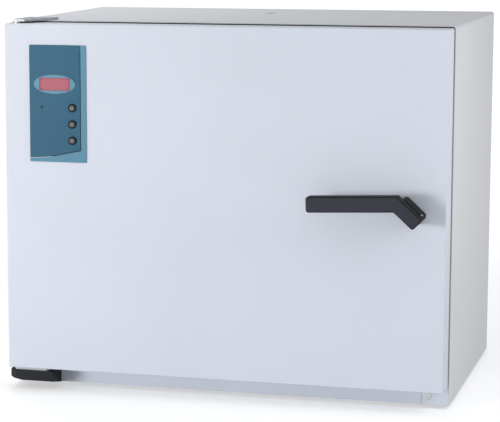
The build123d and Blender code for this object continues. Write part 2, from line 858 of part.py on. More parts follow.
# Wire shelves: a bent rod frame with wires running front to back
shelf_half_width = channel_outer_x - channel_sheet - shelf_side_clearance - shelf_rod_diameter / 2
shelf_front = rack_front + shelf_end_clearance
shelf_back = rack_back - shelf_end_clearance


def build_wire_shelf(level):
    """A wire shelf whose side rods lie in the channels of the given level."""
    rod_z = channel_floors[level] + channel_sheet + shelf_seat_clearance + shelf_rod_diameter / 2
    with BuildPart() as shelf:
        with BuildLine(Plane.XY.offset(rod_z)) as frame_line:
            FilletPolyline(
                (-shelf_half_width, shelf_front),
                (shelf_half_width, shelf_front),
                (shelf_half_width, shelf_back),
                (-shelf_half_width, shelf_back),
                radius=shelf_corner_radius,
                close=True,
            )
        rod_path = frame_line.wires()[0]
        with BuildSketch(Plane(origin=rod_path @ 0, z_dir=rod_path % 0)):
            Circle(shelf_rod_diameter / 2)
        sweep(path=rod_path)
        with BuildSketch(facing_front(shelf_back)):
            with Locations((0, rod_z)):
                with GridLocations(2 * shelf_half_width / (shelf_wires + 1), 1, shelf_wires, 1):
                    Circle(shelf_wire_diameter / 2)
        extrude(amount=shelf_back - shelf_front)
    return shelf.part


lower_shelf_level = rack_levels // 2 - 1
upper_shelf_level = rack_levels - 2
for shelf_name, shelf_level in (("shelf_lower", lower_shelf_level), ("shelf_upper", upper_shelf_level)):
    wire_shelf = build_wire_shelf(shelf_level)
    wire_shelf.label = shelf_name
    export_step(wire_shelf, f"parts/{shelf_name}.step")

# Temperature probe, through the chamber's rear wall
with BuildPart() as temperature_probe:
    with BuildSketch(facing_front(liner_back + probe_tail)):
        with Locations(probe_centre):
            Circle(probe_diameter / 2)
    extrude(amount=liner_back + probe_tail - chamber_back + probe_reach)
    fillet(temperature_probe.edges().group_by(Axis.Y)[0], 0.4 * probe_diameter)
    with BuildSketch(facing_front(chamber_back)):
        with Locations(probe_centre):
            Circle(probe_collar_diameter / 2)
    extrude(amount=probe_collar_height)
temperature_probe.part.label = "temperature_probe"
export_step(temperature_probe.part, "parts/temperature_probe.step")

# Terminal block and power relay, on the base plate in the wiring space
wiring_y = rear_panel_front - wiring_from_back
terminal_x = casing_width / 2 - terminal_from_side
with BuildPart() as terminal_block:
    with BuildSketch(Plane.XY.offset(base_top)):
        with Locations((terminal_x, wiring_y)):
            Rectangle(terminal_length, terminal_depth)
    extrude(amount=terminal_height)
    with BuildSketch(Plane.XY.offset(base_top + terminal_height)):
        with Locations((terminal_x, wiring_y)):
            with GridLocations(terminal_length / terminal_poles, 1, terminal_poles, 1):
                Circle(terminal_screw_diameter / 2)
    extrude(amount=-terminal_screw_depth, mode=Mode.SUBTRACT)
terminal_block.part.label = "terminal_block"
export_step(terminal_block.part, "parts/terminal_block.step")

with BuildPart() as power_relay:
    with BuildSketch(Plane.XY.offset(base_top)):
        with Locations((relay_from_centre, wiring_y)):
            RectangleRounded(relay_length, relay_depth, relay_corner_radius)
    extrude(amount=relay_base_height)
    with BuildSketch(Plane.XY.offset(base_top + relay_base_height)):
        with Locations((relay_from_centre, wiring_y)):
            Rectangle(relay_length - 2 * relay_base_margin, relay_depth - 2 * relay_base_margin)
    extrude(amount=relay_height - relay_base_height)
power_relay.part.label = "power_relay"
export_step(power_relay.part, "parts/power_relay.step")

# Mains gland, clamped in the rear panel by its lock nut
with BuildPart() as cable_gland:
    with BuildSketch(facing_front(casing_back)):
        with Locations(gland_centre):
            RegularPolygon(gland_nut_width / 2, 6, major_radius=False)
    extrude(amount=-gland_nut_height)
    with BuildSketch(facing_front(casing_back + gland_nut_height)):
        with Locations(gland_centre):
            Circle(gland_dome_diameter / 2)
    extrude(amount=-gland_dome_height)
    fillet(cable_gland.edges().group_by(Axis.Y)[-1], gland_edge_radius)
    with BuildSketch(facing_front(casing_back)):
        with Locations(gland_centre):
            Circle(gland_thread_diameter / 2)
    extrude(amount=casing_sheet + gland_thread_length)
    with BuildSketch(facing_front(rear_panel_front)):
        with Locations(gland_centre):
            RegularPolygon(gland_nut_width / 2, 6, major_radius=False)
    extrude(amount=gland_lock_nut_height)
    with BuildSketch(facing_front(casing_back + gland_reach)):
        with Locations(gland_centre):
            Circle(gland_bore / 2)
    extrude(amount=gland_reach + casing_sheet + gland_thread_length, mode=Mode.SUBTRACT)
cable_gland.part.label = "cable_gland"
export_step(cable_gland.part, "parts/cable_gland.step")

# Box behind the front frame that the latch hook turns in
with BuildPart() as strike_box:
    with BuildSketch(facing_front(frame_back)):
        with Locations((spindle_x, spindle_z)):
            Rectangle(strike_box_size, strike_box_size)
    extrude(amount=-strike_box_depth)
    with BuildSketch(facing_front(frame_back)):
        with Locations((spindle_x, spindle_z)):
            Rectangle(strike_box_size - 2 * strike_box_sheet, strike_box_size - 2 * strike_box_sheet)
    extrude(amount=-(strike_box_depth - strike_box_sheet), mode=Mode.SUBTRACT)
strike_box.part.label = "strike_box"
export_step(strike_box.part, "parts/strike_box.step")

# Leaf spring on the box's roof: its nose hangs in front of the hook's tip and holds the door shut
hook_front = frame_back + hook_gap
hook_back = hook_front + hook_thickness
catch_roof = spindle_z + strike_box_size / 2 - strike_box_sheet
catch_nose_z = spindle_z + hook_length - catch_bite
catch_nose_y = frame_back + hook_gap / 2
with BuildPart() as catch_spring:
    with BuildSketch(Plane.YZ.offset(spindle_x - catch_width / 2)):
        with BuildLine():
            FilletPolyline(
                (frame_back + strike_box_depth - 2 * strike_box_sheet, catch_roof - catch_sheet),
                (hook_front + catch_sheet, catch_roof - catch_sheet),
                (catch_nose_y, catch_nose_z),
                (frame_back + catch_bend_radius / 2, catch_roof - 2 * catch_bite),
                radius=catch_bend_radius,
            )
            offset(amount=catch_sheet, side=Side.RIGHT)
        make_face()
    extrude(amount=catch_width)
catch_spring.part.label = "catch_spring"
export_step(catch_spring.part, "parts/catch_spring.step")

# Top hinge plate, lying on the casing's roof and narrowing forwards to the pin
plate_top = casing_top + hinge_plate_thickness
plate_right = hinge_plate_left + hinge_plate_length
plate_tip_y = pin_y - hinge_plate_tip_margin
with BuildPart() as hinge_plate_top:
    with BuildSketch(Plane.XY.offset(casing_top)) as plate_outline:
        with BuildLine():
            Polyline(
                (hinge_plate_left, plate_tip_y),
                (hinge_plate_left + hinge_plate_tip_width, plate_tip_y),
                (plate_right, casing_front + hinge_plate_corner_back),
                (plate_right, casing_front + hinge_plate_reach_back),
                (hinge_plate_left, casing_front + hinge_plate_reach_back),
                close=True,
            )
        make_face()
        fillet(plate_outline.vertices(), hinge_plate_corner_radius)
        with Locations((pin_x, pin_y)):
            Circle(pin_diameter / 2 + screw_clearance, mode=Mode.SUBTRACT)
    extrude(amount=hinge_plate_thickness)
    with Locations(*[(x, y, plate_top) for x, y in plate_screw_places]):
        CounterSinkHole(
            hinge_screw_diameter / 2 + screw_clearance,
            hinge_screw_head_diameter / 2 + screw_clearance,
            counter_sink_angle=90,
        )
hinge_plate_top.part.label = "hinge_plate_top"
export_step(hinge_plate_top.part, "parts/hinge_plate_top.step")

# Bottom hinge bracket, an angle with its leg on the rail and its plate under the door
leg_screw_planes = [
    Plane(origin=(x, casing_front - bracket_thickness, z), z_dir=(0, -1, 0)) for x, z in leg_screw_places
]
with BuildPart() as hinge_bracket_bottom:
    with BuildSketch(Plane.XY.offset(bracket_bottom)) as bracket_outline:
        with Locations((bracket_middle, casing_front - bracket_reach / 2)):
            Rectangle(bracket_width, bracket_reach)
        fillet(bracket_outline.vertices().group_by(Axis.Y)[0], bracket_corner_radius)
        with Locations((pin_x, pin_y)):
            Circle(pin_diameter / 2 + screw_clearance, mode=Mode.SUBTRACT)
    extrude(amount=bracket_thickness)
    with BuildSketch(facing_front(casing_front)):
        with Locations((bracket_middle, bracket_top - bracket_leg_height / 2)):
            Rectangle(bracket_width, bracket_leg_height)
    extrude(amount=bracket_thickness)
    with Locations(*leg_screw_planes):
        CounterSinkHole(
            hinge_screw_diameter / 2 + screw_clearance,
            hinge_screw_head_diameter / 2 + screw_clearance,
            depth=2 * bracket_thickness,
            counter_sink_angle=90,
        )
hinge_bracket_bottom.part.label = "hinge_bracket_bottom"
export_step(hinge_bracket_bottom.part, "parts/hinge_bracket_bottom.step")

# Countersunk screws of both hinges
hinge_screw_planes = leg_screw_planes + [Plane(origin=(x, y, plate_top)) for x, y in plate_screw_places]
with BuildPart() as hinge_screws:
    with Locations(*hinge_screw_planes):
        Cone(
            hinge_screw_diameter / 2,
            hinge_screw_head_diameter / 2,
            (hinge_screw_head_diameter - hinge_screw_diameter) / 2,
            align=(Align.CENTER, Align.CENTER, Align.MAX),
        )
        Cylinder(
            hinge_screw_diameter / 2,
            hinge_screw_length,
            align=(Align.CENTER, Align.CENTER, Align.MAX),
        )
hinge_screws.part.label = "hinge_screws"
export_step(hinge_screws.part, "parts/hinge_screws.step")

# The two pins that the door turns on
with BuildPart() as hinge_pins:
    with BuildSketch(Plane.XY.offset(door_top - pin_insertion)):
        with Locations((pin_x, pin_y)):
            Circle(pin_diameter / 2)
    extrude(amount=plate_top - door_top + pin_insertion)
    with BuildSketch(Plane.XY.offset(bracket_bottom)):
        with Locations((pin_x, pin_y)):
            Circle(pin_diameter / 2)
    extrude(amount=door_bottom + pin_insertion - bracket_bottom)
hinge_pins.part.label = "hinge_pins"
export_step(hinge_pins.part, "parts/hinge_pins.step")

# Moulded cover round the bottom hinge, open to the rail behind it and to the bracket over it. Its
# underside falls to the back, and its free end is cut to a nose in plan and rises towards the corner
cover_left = -casing_width / 2 + cover_side_inset
cover_front = casing_front - cover_reach
cover_low_z = casing_bottom + cover_back_lift
cover_knee_z = casing_bottom + cover_front_lift
with BuildPart() as hinge_cover:
    with BuildSketch(Plane.YZ.offset(cover_left)):
        with BuildLine():
            Polyline(
                (casing_front, cover_low_z),
                (casing_front, bracket_bottom),
                (cover_front, bracket_bottom),
                (cover_front, cover_knee_z + cover_bevel_height),
                (cover_front + cover_bevel_depth, cover_knee_z),
                close=True,
            )
        make_face()
    extrude(amount=cover_length)
    with BuildSketch(Plane.XY.offset(cover_low_z)):
        with BuildLine():
            Polyline(
                (cover_left, cover_front),
                (cover_left + cover_nose_width, cover_front),
                (cover_left, cover_front + cover_nose_depth),
                close=True,
            )
        make_face()
    extrude(amount=bracket_bottom - cover_low_z, mode=Mode.SUBTRACT)
    with BuildSketch(facing_front(casing_front)):
        with BuildLine():
            Polyline(
                (cover_left, cover_low_z),
                (cover_left, casing_bottom + cover_end_lift),
                (cover_left + cover_end_slope_length, cover_low_z),
                close=True,
            )
        make_face()
    extrude(amount=cover_reach, mode=Mode.SUBTRACT)
    offset(
        amount=-cover_wall,
        openings=[hinge_cover.faces().sort_by(Axis.Y)[-1], hinge_cover.faces().sort_by(Axis.Z)[-1]],
    )
hinge_cover.part.label = "hinge_cover"
export_step(hinge_cover.part, "parts/hinge_cover.step")

# Places of the screws round the rim of the door's inner panel
panel_width = door_width - 2 * inner_panel_margin
panel_height = door_height - 2 * inner_panel_margin
panel_screw_places = [
    (
        (i / (panel_screw_columns - 1) - 0.5) * (panel_width - 2 * panel_screw_inset),
        door_centre_height + (j / (panel_screw_rows - 1) - 0.5) * (panel_height - 2 * panel_screw_inset),
    )
    for i in range(panel_screw_columns)
    for j in range(panel_screw_rows)
    if i in (0, panel_screw_columns - 1) or j in (0, panel_screw_rows - 1)
]
spindle_place = (spindle_x, spindle_z)
sleeve_hole_radius = sleeve_diameter / 2 + screw_clearance

# Door skin: a deep-folded tray with a flange turned in round its back
with BuildPart() as door_skin:
    with BuildSketch(facing_front(skin_back)):
        with Locations((0, door_centre_height)):
            RectangleRounded(door_width, door_height, door_corner_radius)
    extrude(amount=skin_back - door_front)
    fillet(door_skin.faces().sort_by(Axis.Y)[0].edges(), door_edge_radius)
    with BuildSketch(facing_front(skin_back - door_sheet)):
        with Locations((0, door_centre_height)):
            RectangleRounded(
                door_width - 2 * door_sheet,
                door_height - 2 * door_sheet,
                door_corner_radius - door_sheet,
            )
    extrude(amount=skin_back - door_sheet - skin_inner_front, mode=Mode.SUBTRACT)
    with BuildSketch(facing_front(skin_back)):
        with Locations((0, door_centre_height)):
            Rectangle(door_width - 2 * door_flange_width, door_height - 2 * door_flange_width)
        with Locations(*panel_screw_places):
            Circle(panel_screw_shank_diameter / 2 + screw_clearance)
    extrude(amount=door_sheet, mode=Mode.SUBTRACT)
    with BuildSketch(facing_front(skin_inner_front)):
        with Locations(fascia_centre):
            Rectangle(fascia_width - 2 * fascia_window_margin, fascia_height - 2 * fascia_window_margin)
        with Locations(spindle_place):
            Circle(sleeve_hole_radius)
    extrude(amount=door_sheet, mode=Mode.SUBTRACT)
    with BuildSketch(Plane.XY.offset(door_bottom)):
        with Locations((pin_x, pin_y)):
            Circle(bush_diameter / 2 + screw_clearance)
    extrude(amount=door_height, mode=Mode.SUBTRACT)
door_skin.part.label = "door_skin"
export_step(door_skin.part, "parts/door_skin.step")

# Inner panel of the door, pressed out into a plug that closes the chamber's mouth
plug_width = chamber_width - 2 * plug_clearance
plug_height = chamber_height - 2 * plug_clearance
plug_back = door_back + plug_depth
with BuildPart() as door_inner_panel:
    with BuildSketch(facing_front(door_back)):
        with Locations((0, door_centre_height)):
            RectangleRounded(panel_width, panel_height, door_corner_radius)
    extrude(amount=inner_panel_sheet)
    with BuildSketch(facing_front(plug_back)):
        with Locations((0, chamber_centre_height)):
            RectangleRounded(plug_width, plug_height, plug_corner_radius)
    extrude(amount=plug_depth)
    fillet(door_inner_panel.faces().sort_by(Axis.Y)[-1].edges(), plug_edge_radius)
    with BuildSketch(facing_front(plug_back - inner_panel_sheet)):
        with Locations((0, chamber_centre_height)):
            RectangleRounded(
                plug_width - 2 * inner_panel_sheet,
                plug_height - 2 * inner_panel_sheet,
                plug_corner_radius - inner_panel_sheet,
            )
    extrude(amount=plug_depth, mode=Mode.SUBTRACT)
    with BuildSketch(facing_front(door_back)):
        with Locations(*panel_screw_places):
            Circle(panel_screw_shank_diameter / 2 + screw_clearance)
        with Locations(spindle_place):
            Circle(sleeve_hole_radius)
    extrude(amount=inner_panel_sheet, mode=Mode.SUBTRACT)
door_inner_panel.part.label = "door_inner_panel"
export_step(door_inner_panel.part, "parts/door_inner_panel.step")

# Mineral wool in the door, filling the plug and left out round the electronics box
box_width = fascia_width - 2 * box_margin
box_height = fascia_height - 2 * box_margin
door_wool_back = skin_back - door_sheet - insulation_clearance
door_wool_edge = door_sheet + insulation_clearance
plug_wool_edge = inner_panel_sheet + insulation_clearance
with BuildPart() as door_insulation:
    with BuildSketch(facing_front(door_wool_back)):
        with Locations((0, door_centre_height)):
            RectangleRounded(
                door_width - 2 * door_wool_edge,
                door_height - 2 * door_wool_edge,
                door_corner_radius - door_wool_edge,
            )
        with Locations(spindle_place):
            Circle(sleeve_diameter / 2 + insulation_clearance, mode=Mode.SUBTRACT)
        with Locations(*panel_screw_places):
            Circle(panel_screw_shank_diameter / 2 + insulation_clearance, mode=Mode.SUBTRACT)
    extrude(amount=door_wool_back - skin_inner_front - insulation_clearance)
    with BuildSketch(facing_front(plug_back - plug_wool_edge)):
        with Locations((0, chamber_centre_height)):
            Rectangle(plug_width - 2 * plug_wool_edge, plug_height - 2 * plug_wool_edge)
    extrude(amount=plug_back - plug_wool_edge - door_wool_back)
    fillet(door_insulation.edges().filter_by(Axis.Y).group_by(Axis.Y)[-1], plug_corner_radius)
    with BuildSketch(facing_front(box_back + insulation_clearance)):
        with Locations(fascia_centre):
            Rectangle(box_width + 2 * insulation_clearance, box_height + 2 * insulation_clearance)
    extrude(amount=box_depth, mode=Mode.SUBTRACT)
    bush_pocket_radius = bush_diameter / 2 + insulation_clearance
    with Locations((pin_x, pin_y, door_top)):
        Hole(bush_pocket_radius, depth=pin_insertion + insulation_clearance)
    with Locations(Plane(origin=(pin_x, pin_y, door_bottom), z_dir=(0, 0, -1))):
        Hole(bush_pocket_radius, depth=pin_insertion + insulation_clearance)
door_insulation.part.label = "door_insulation"
export_step(door_insulation.part, "parts/door_insulation.step")

# Seal round the chamber's mouth
with BuildPart() as door_gasket:
    with BuildSketch(facing_front(casing_front - gasket_clearance)):
        with Locations((0, chamber_centre_height)):
            RectangleRounded(
                chamber_width + 2 * (gasket_offset + gasket_width),
                chamber_height + 2 * (gasket_offset + gasket_width),
                gasket_offset + gasket_width,
            )
            RectangleRounded(
                chamber_width + 2 * gasket_offset,
                chamber_height + 2 * gasket_offset,
                gasket_offset,
                mode=Mode.SUBTRACT,
            )
    extrude(amount=door_gap - gasket_clearance)
    fillet(door_gasket.faces().sort_by(Axis.Y)[-1].edges(), gasket_edge_radius)
door_gasket.part.label = "door_gasket"
export_step(door_gasket.part, "parts/door_gasket.step")

with BuildPart() as door_panel_screws:
    with BuildSketch(facing_front(door_back)):
        with Locations(*panel_screw_places):
            Circle(panel_screw_head_diameter / 2)
    extrude(amount=-panel_screw_head_height)
    with BuildSketch(facing_front(door_back)):
        with Locations(*panel_screw_places):
            Circle(panel_screw_shank_diameter / 2)
    extrude(amount=panel_screw_length)
door_panel_screws.part.label = "door_panel_screws"
export_step(door_panel_screws.part, "parts/door_panel_screws.step")

# Flanged bushes in the door's top and bottom edges
bush_planes = [
    Plane(origin=(pin_x, pin_y, door_top)),
    Plane(origin=(pin_x, pin_y, door_bottom), z_dir=(0, 0, -1)),
]
with BuildPart() as hinge_bushes:
    for bush_plane in bush_planes:
        with BuildSketch(bush_plane):
            Circle(bush_flange_diameter / 2)
        extrude(amount=bush_flange_height)
        with BuildSketch(bush_plane):
            Circle(bush_diameter / 2)
        extrude(amount=-pin_insertion)
        with BuildSketch(bush_plane.offset(bush_flange_height)):
            Circle(pin_diameter / 2 + bush_running_clearance)
        extrude(amount=-(bush_flange_height + pin_insertion), mode=Mode.SUBTRACT)
hinge_bushes.part.label = "hinge_bushes"
export_step(hinge_bushes.part, "parts/hinge_bushes.step")

# Sleeve that the lever's spindle turns in, flanged behind the door
with BuildPart() as spindle_sleeve:
    with BuildSketch(facing_front(door_back)):
        with Locations(spindle_place):
            Circle(sleeve_diameter / 2)
    extrude(amount=door_thickness)
    with BuildSketch(facing_front(door_back)):
        with Locations(spindle_place):
            Circle(sleeve_flange_diameter / 2)
    extrude(amount=-sleeve_flange_height)
    with BuildSketch(facing_front(door_back + sleeve_flange_height)):
        with Locations(spindle_place):
            Circle(spindle_diameter / 2 + spindle_running_clearance)
    extrude(amount=door_thickness + sleeve_flange_height, mode=Mode.SUBTRACT)
spindle_sleeve.part.label = "spindle_sleeve"
export_step(spindle_sleeve.part, "parts/spindle_sleeve.step")

# Electronics box behind the fascia, open to the front
with BuildPart() as electronics_box:
    with BuildSketch(facing_front(box_back)):
        with Locations(fascia_centre):
            Rectangle(box_width, box_height)
    extrude(amount=box_depth)
    with BuildSketch(facing_front(box_back - box_sheet)):
        with Locations(fascia_centre):
            Rectangle(box_width - 2 * box_sheet, box_height - 2 * box_sheet)
    extrude(amount=box_depth - box_sheet, mode=Mode.SUBTRACT)
electronics_box.part.label = "electronics_box"
export_step(electronics_box.part, "parts/electronics_box.step")

# Fascia, with a lighter trim down its right side and under it; the trim rises towards the right
trim_inner_x = fascia_right - trim_side_width
trim_kink_x = fascia_left + trim_kink_from_side
trim_top_line = [
    (trim_inner_x, fascia_bottom + trim_corner_height),
    (trim_kink_x, fascia_bottom + trim_kink_height),
    (fascia_left, fascia_bottom + trim_side_height),
]
with BuildPart() as fascia_plate:
    with BuildSketch(facing_front(door_front)) as fascia_outline:
        with BuildLine():
            Polyline(
                *[(min(x, trim_inner_x - fascia_groove), z + fascia_groove) for x, z in trim_top_line],
                (fascia_left, fascia_top),
                (trim_inner_x - fascia_groove, fascia_top),
                close=True,
            )
        make_face()
        fillet(fascia_outline.vertices().sort_by(Axis.X)[:2].sort_by(Axis.Y)[-1], fascia_corner_radius)
        with Locations(bezel_centre):
            Rectangle(
                window_width + 2 * window_clearance,
                window_height + 2 * window_clearance,
                mode=Mode.SUBTRACT,
            )
        with Locations(led_centre):
            Circle(led_diameter / 2 + led_clearance, mode=Mode.SUBTRACT)
        with Locations(*button_centres):
            Circle(button_cap_diameter / 2 + button_clearance, mode=Mode.SUBTRACT)
    extrude(amount=fascia_thickness)
fascia_plate.part.label = "fascia_plate"
export_step(fascia_plate.part, "parts/fascia_plate.step")

with BuildPart() as fascia_trim:
    with BuildSketch(facing_front(door_front)) as trim_outline:
        with BuildLine():
            Polyline(
                *trim_top_line,
                (fascia_left, fascia_bottom),
                (fascia_right, fascia_bottom),
                (fascia_right, fascia_top),
                (trim_inner_x, fascia_top),
                close=True,
            )
        make_face()
        fillet(trim_outline.vertices().group_by(Axis.X)[-1], fascia_corner_radius)
    extrude(amount=fascia_thickness)
fascia_trim.part.label = "fascia_trim"
export_step(fascia_trim.part, "parts/fascia_trim.step")

# Elliptical bezel round the display window
with BuildPart() as display_bezel:
    with BuildSketch(facing_front(fascia_front)):
        with Locations(bezel_centre):
            Ellipse(bezel_width / 2, bezel_height / 2)
            Rectangle(
                window_width + 2 * window_clearance,
                window_height + 2 * window_clearance,
                mode=Mode.SUBTRACT,
            )
    extrude(amount=bezel_thickness)
display_bezel.part.label = "display_bezel"
export_step(display_bezel.part, "parts/display_bezel.step")

window_back = bezel_front + window_recess + window_thickness
with BuildPart() as display_window:
    with BuildSketch(facing_front(window_back)):
        with Locations(bezel_centre):
            Rectangle(window_width, window_height)
    extrude(amount=window_thickness)
display_window.part.label = "display_window"
export_step(display_window.part, "parts/display_window.step")

with BuildPart() as display_module:
    with BuildSketch(facing_front(board_front)):
        with Locations(bezel_centre):
            Rectangle(window_width + 2 * module_margin, window_height + 2 * module_margin)
    extrude(amount=board_front - window_back)
display_module.part.label = "display_module"
export_step(display_module.part, "parts/display_module.step")

# Control board on four posts from the box's back wall
board_width = box_width - 2 * (box_sheet + board_margin)
board_height = box_height - 2 * (box_sheet + board_margin)
with BuildPart() as control_board:
    with BuildSketch(facing_front(board_back)):
        with Locations(fascia_centre):
            Rectangle(board_width, board_height)
    extrude(amount=board_thickness)
control_board.part.label = "control_board"
export_step(control_board.part, "parts/control_board.step")

with BuildPart() as board_standoffs:
    with BuildSketch(facing_front(box_back - box_sheet)):
        with Locations(fascia_centre):
            with GridLocations(board_width - 2 * standoff_inset, board_height - 2 * standoff_inset, 2, 2):
                Circle(standoff_diameter / 2)
    extrude(amount=box_back - box_sheet - board_back)
board_standoffs.part.label = "board_standoffs"
export_step(board_standoffs.part, "parts/board_standoffs.step")

with BuildPart() as switch_bodies:
    with BuildSketch(facing_front(board_front)):
        with Locations(*button_centres):
            Rectangle(switch_size, switch_size)
    extrude(amount=switch_height)
switch_bodies.part.label = "switch_bodies"
export_step(switch_bodies.part, "parts/switch_bodies.step")

# Indicator lamp, domed, on a spacer from the board
with BuildPart() as indicator_led:
    with BuildSketch(facing_front(board_front)):
        with Locations(led_centre):
            Circle(led_diameter / 2)
    extrude(amount=board_front - fascia_front - led_below_face)
    fillet(indicator_led.edges().group_by(Axis.Y)[0], led_dome_radius)
    with BuildSketch(facing_front(board_front)):
        with Locations(led_centre):
            Circle(led_spacer_diameter / 2)
    extrude(amount=board_front - door_front - led_spacer_gap)
indicator_led.part.label = "indicator_led"
export_step(indicator_led.part, "parts/indicator_led.step")

# Raised rings round the buttons
with BuildPart() as button_bezels:
    with BuildSketch(facing_front(fascia_front)):
        with Locations(*button_centres):
            Circle(button_ring_diameter / 2)
            Circle(button_cap_diameter / 2 + button_clearance, mode=Mode.SUBTRACT)
    extrude(amount=button_ring_height)
    ring_front_edges = button_bezels.edges().group_by(Axis.Y)[0]
    chamfer(ring_front_edges.group_by(SortBy.RADIUS)[-1], button_ring_chamfer)
button_bezels.part.label = "button_bezels"
export_step(button_bezels.part, "parts/button_bezels.step")

# Push buttons: a rounded cap, a flange kept behind the fascia and a stem to the switch
button_flange_front = door_front + button_flange_gap
button_cap_front = fascia_front - button_ring_height - button_cap_proud
button_stem_back = board_front - switch_height - button_switch_gap - button_travel


def build_button(button_centre):
    """A push button with its cap, flange and stem, centred at (x, z)."""
    with BuildPart() as button:
        with BuildSketch(facing_front(button_flange_front)):
            with Locations(button_centre):
                Circle(button_cap_diameter / 2)
        extrude(amount=button_flange_front - button_cap_front)
        fillet(button.edges().group_by(Axis.Y)[0], button_cap_edge_radius)
        with BuildSketch(facing_front(button_flange_front + button_flange_height)):
            with Locations(button_centre):
                Circle(button_flange_diameter / 2)
        extrude(amount=button_flange_height)
        with BuildSketch(facing_front(button_stem_back)):
            with Locations(button_centre):
                Circle(button_stem_diameter / 2)
        extrude(amount=button_stem_back - button_flange_front - button_flange_height)
    return button.part


for button_name, button_centre in zip(("button_top", "button_middle", "button_bottom"), button_centres):
    push_button = build_button(button_centre)
    push_button.label = button_name
    export_step(push_button, f"parts/{button_name}.step")

# Lever: in its own plane, x runs along the grip and the spindle is the origin
hub_back = door_front - hub_gap
grip_back = hub_back - hub_depth
across = Vector(cos(radians(lever_droop)), 0, sin(radians(lever_droop)))
upwards = Vector(-sin(radians(lever_droop)), 0, cos(radians(lever_droop)))
crank_cos = cos(radians(lever_crank_angle))
crank_sin = sin(radians(lever_crank_angle))
along_leg = across * crank_cos - upwards * crank_sin
across_leg = across * crank_sin + upwards * crank_cos


def lever_plane(y):
    """The lever's own plane at depth y, growing to the front."""
    return Plane(origin=(spindle_x, y, spindle_z), x_dir=across, z_dir=(0, -1, 0))


def on_leg(along, sideways):
    """A point of the lever's plane, given along the cranked leg and to its upper right side."""
    return (
        along * crank_cos + sideways * crank_sin,
        -along * crank_sin + sideways * crank_cos,
    )


grip_centre = leg_above_spindle * crank_sin
grip_top = grip_centre + grip_height / 2
grip_bottom = grip_centre - grip_height / 2
grip_left = -leg_above_spindle * crank_cos - grip_length
upper_bend_along = (leg_high_side * crank_cos - grip_top) / crank_sin
lower_bend_along = (-leg_low_side * crank_cos - grip_bottom) / crank_sin
leg_middle = (leg_below_spindle - leg_above_spindle) / 2
with BuildPart() as handle_grip:
    with BuildSketch(lever_plane(grip_back)) as grip_outline:
        with BuildLine():
            Polyline(
                (grip_left, grip_bottom),
                on_leg(lower_bend_along, -leg_low_side),
                on_leg(leg_below_spindle, -leg_low_side),
                on_leg(leg_below_spindle, leg_high_side),
                on_leg(upper_bend_along, leg_high_side),
                (grip_left, grip_top),
                close=True,
            )
        make_face()
        fillet(grip_outline.vertices(), grip_corner_radius)
    extrude(amount=grip_depth)
    fillet(handle_grip.faces().sort_by(Axis.Y)[0].edges(), lever_edge_radius)
handle_grip.part.label = "handle_grip"
export_step(handle_grip.part, "parts/handle_grip.step")

# Block between the lever's leg and the door, bored for the spindle and for the cross pin
pin_seat = Vector(spindle_x, grip_back + lever_pin_from_grip, spindle_z) + along_leg * lever_pin_from_spindle
lever_pin_plane = Plane(
    origin=pin_seat + across_leg * (hub_width / 2 + lever_pin_proud), z_dir=across_leg
)
with BuildPart() as handle_hub:
    with BuildSketch(lever_plane(hub_back)):
        with Locations(on_leg(leg_middle, 0)):
            RectangleRounded(hub_length, hub_width, hub_corner_radius, rotation=-lever_crank_angle)
    extrude(amount=hub_depth)
    with BuildSketch(lever_plane(hub_back)):
        Circle(spindle_diameter / 2 + spindle_running_clearance)
    extrude(amount=hub_bore_depth, mode=Mode.SUBTRACT)
    with BuildSketch(lever_pin_plane):
        Circle(lever_pin_diameter / 2 + screw_clearance)
    extrude(amount=-lever_pin_length - screw_clearance, mode=Mode.SUBTRACT)
handle_hub.part.label = "handle_hub"
export_step(handle_hub.part, "parts/handle_hub.step")

with BuildPart() as handle_pin:
    with BuildSketch(lever_pin_plane):
        Circle(lever_pin_diameter / 2)
    extrude(amount=-lever_pin_length)
    chamfer(handle_pin.edges(), lever_pin_chamfer)
handle_pin.part.label = "handle_pin"
export_step(handle_pin.part, "parts/handle_pin.step")

# Spindle through the door, tapped at its back end
with BuildPart() as latch_spindle:
    with BuildSketch(facing_front(hook_back)):
        with Locations(spindle_place):
            Circle(spindle_diameter / 2)
    extrude(amount=hook_back - hub_back + hub_bore_depth)
    with BuildSketch(facing_front(hook_back)):
        with Locations(spindle_place):
            Circle(spindle_screw_shank / 2 + screw_clearance)
    extrude(amount=spindle_screw_length + screw_clearance, mode=Mode.SUBTRACT)
latch_spindle.part.label = "latch_spindle"
export_step(latch_spindle.part, "parts/latch_spindle.step")

# Latch hook on the spindle's end, with its nose up while the lever is down
with BuildPart() as latch_hook:
    with BuildSketch(facing_front(hook_back)) as hook_outline:
        with Locations((spindle_x, spindle_z + hook_length / 2)):
            Rectangle(hook_width, hook_length)
        fillet(hook_outline.vertices().group_by(Axis.Y)[-1], hook_tip_radius)
        with Locations(spindle_place):
            Circle(hook_boss_diameter / 2)
            Circle(spindle_diameter / 2 + spindle_running_clearance, mode=Mode.SUBTRACT)
    extrude(amount=hook_thickness)
latch_hook.part.label = "latch_hook"
export_step(latch_hook.part, "parts/latch_hook.step")

with BuildPart() as spindle_screw:
    with BuildSketch(facing_front(hook_back)):
        with Locations(spindle_place):
            Circle(spindle_screw_diameter / 2)
    extrude(amount=-spindle_screw_height)
    with BuildSketch(facing_front(hook_back)):
        with Locations(spindle_place):
            Circle(spindle_screw_shank / 2)
    extrude(amount=spindle_screw_length)
spindle_screw.part.label = "spindle_screw"
export_step(spindle_screw.part, "parts/spindle_screw.step")
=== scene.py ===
# %% [markdown]
# # Dressing a bench-top drying cabinet
# The cabinet is already built to size as separate solids: a sheet-steel casing, a door on two pins,
# a lever and three push buttons. This lesson loads those solids, gives every one a finish made of
# nodes, models the small screws that the solids only block out, and lights and frames the whole.

# %% Load the solids
import json
from math import pi, radians

import bmesh
import bpy
from mathutils import Matrix, Vector


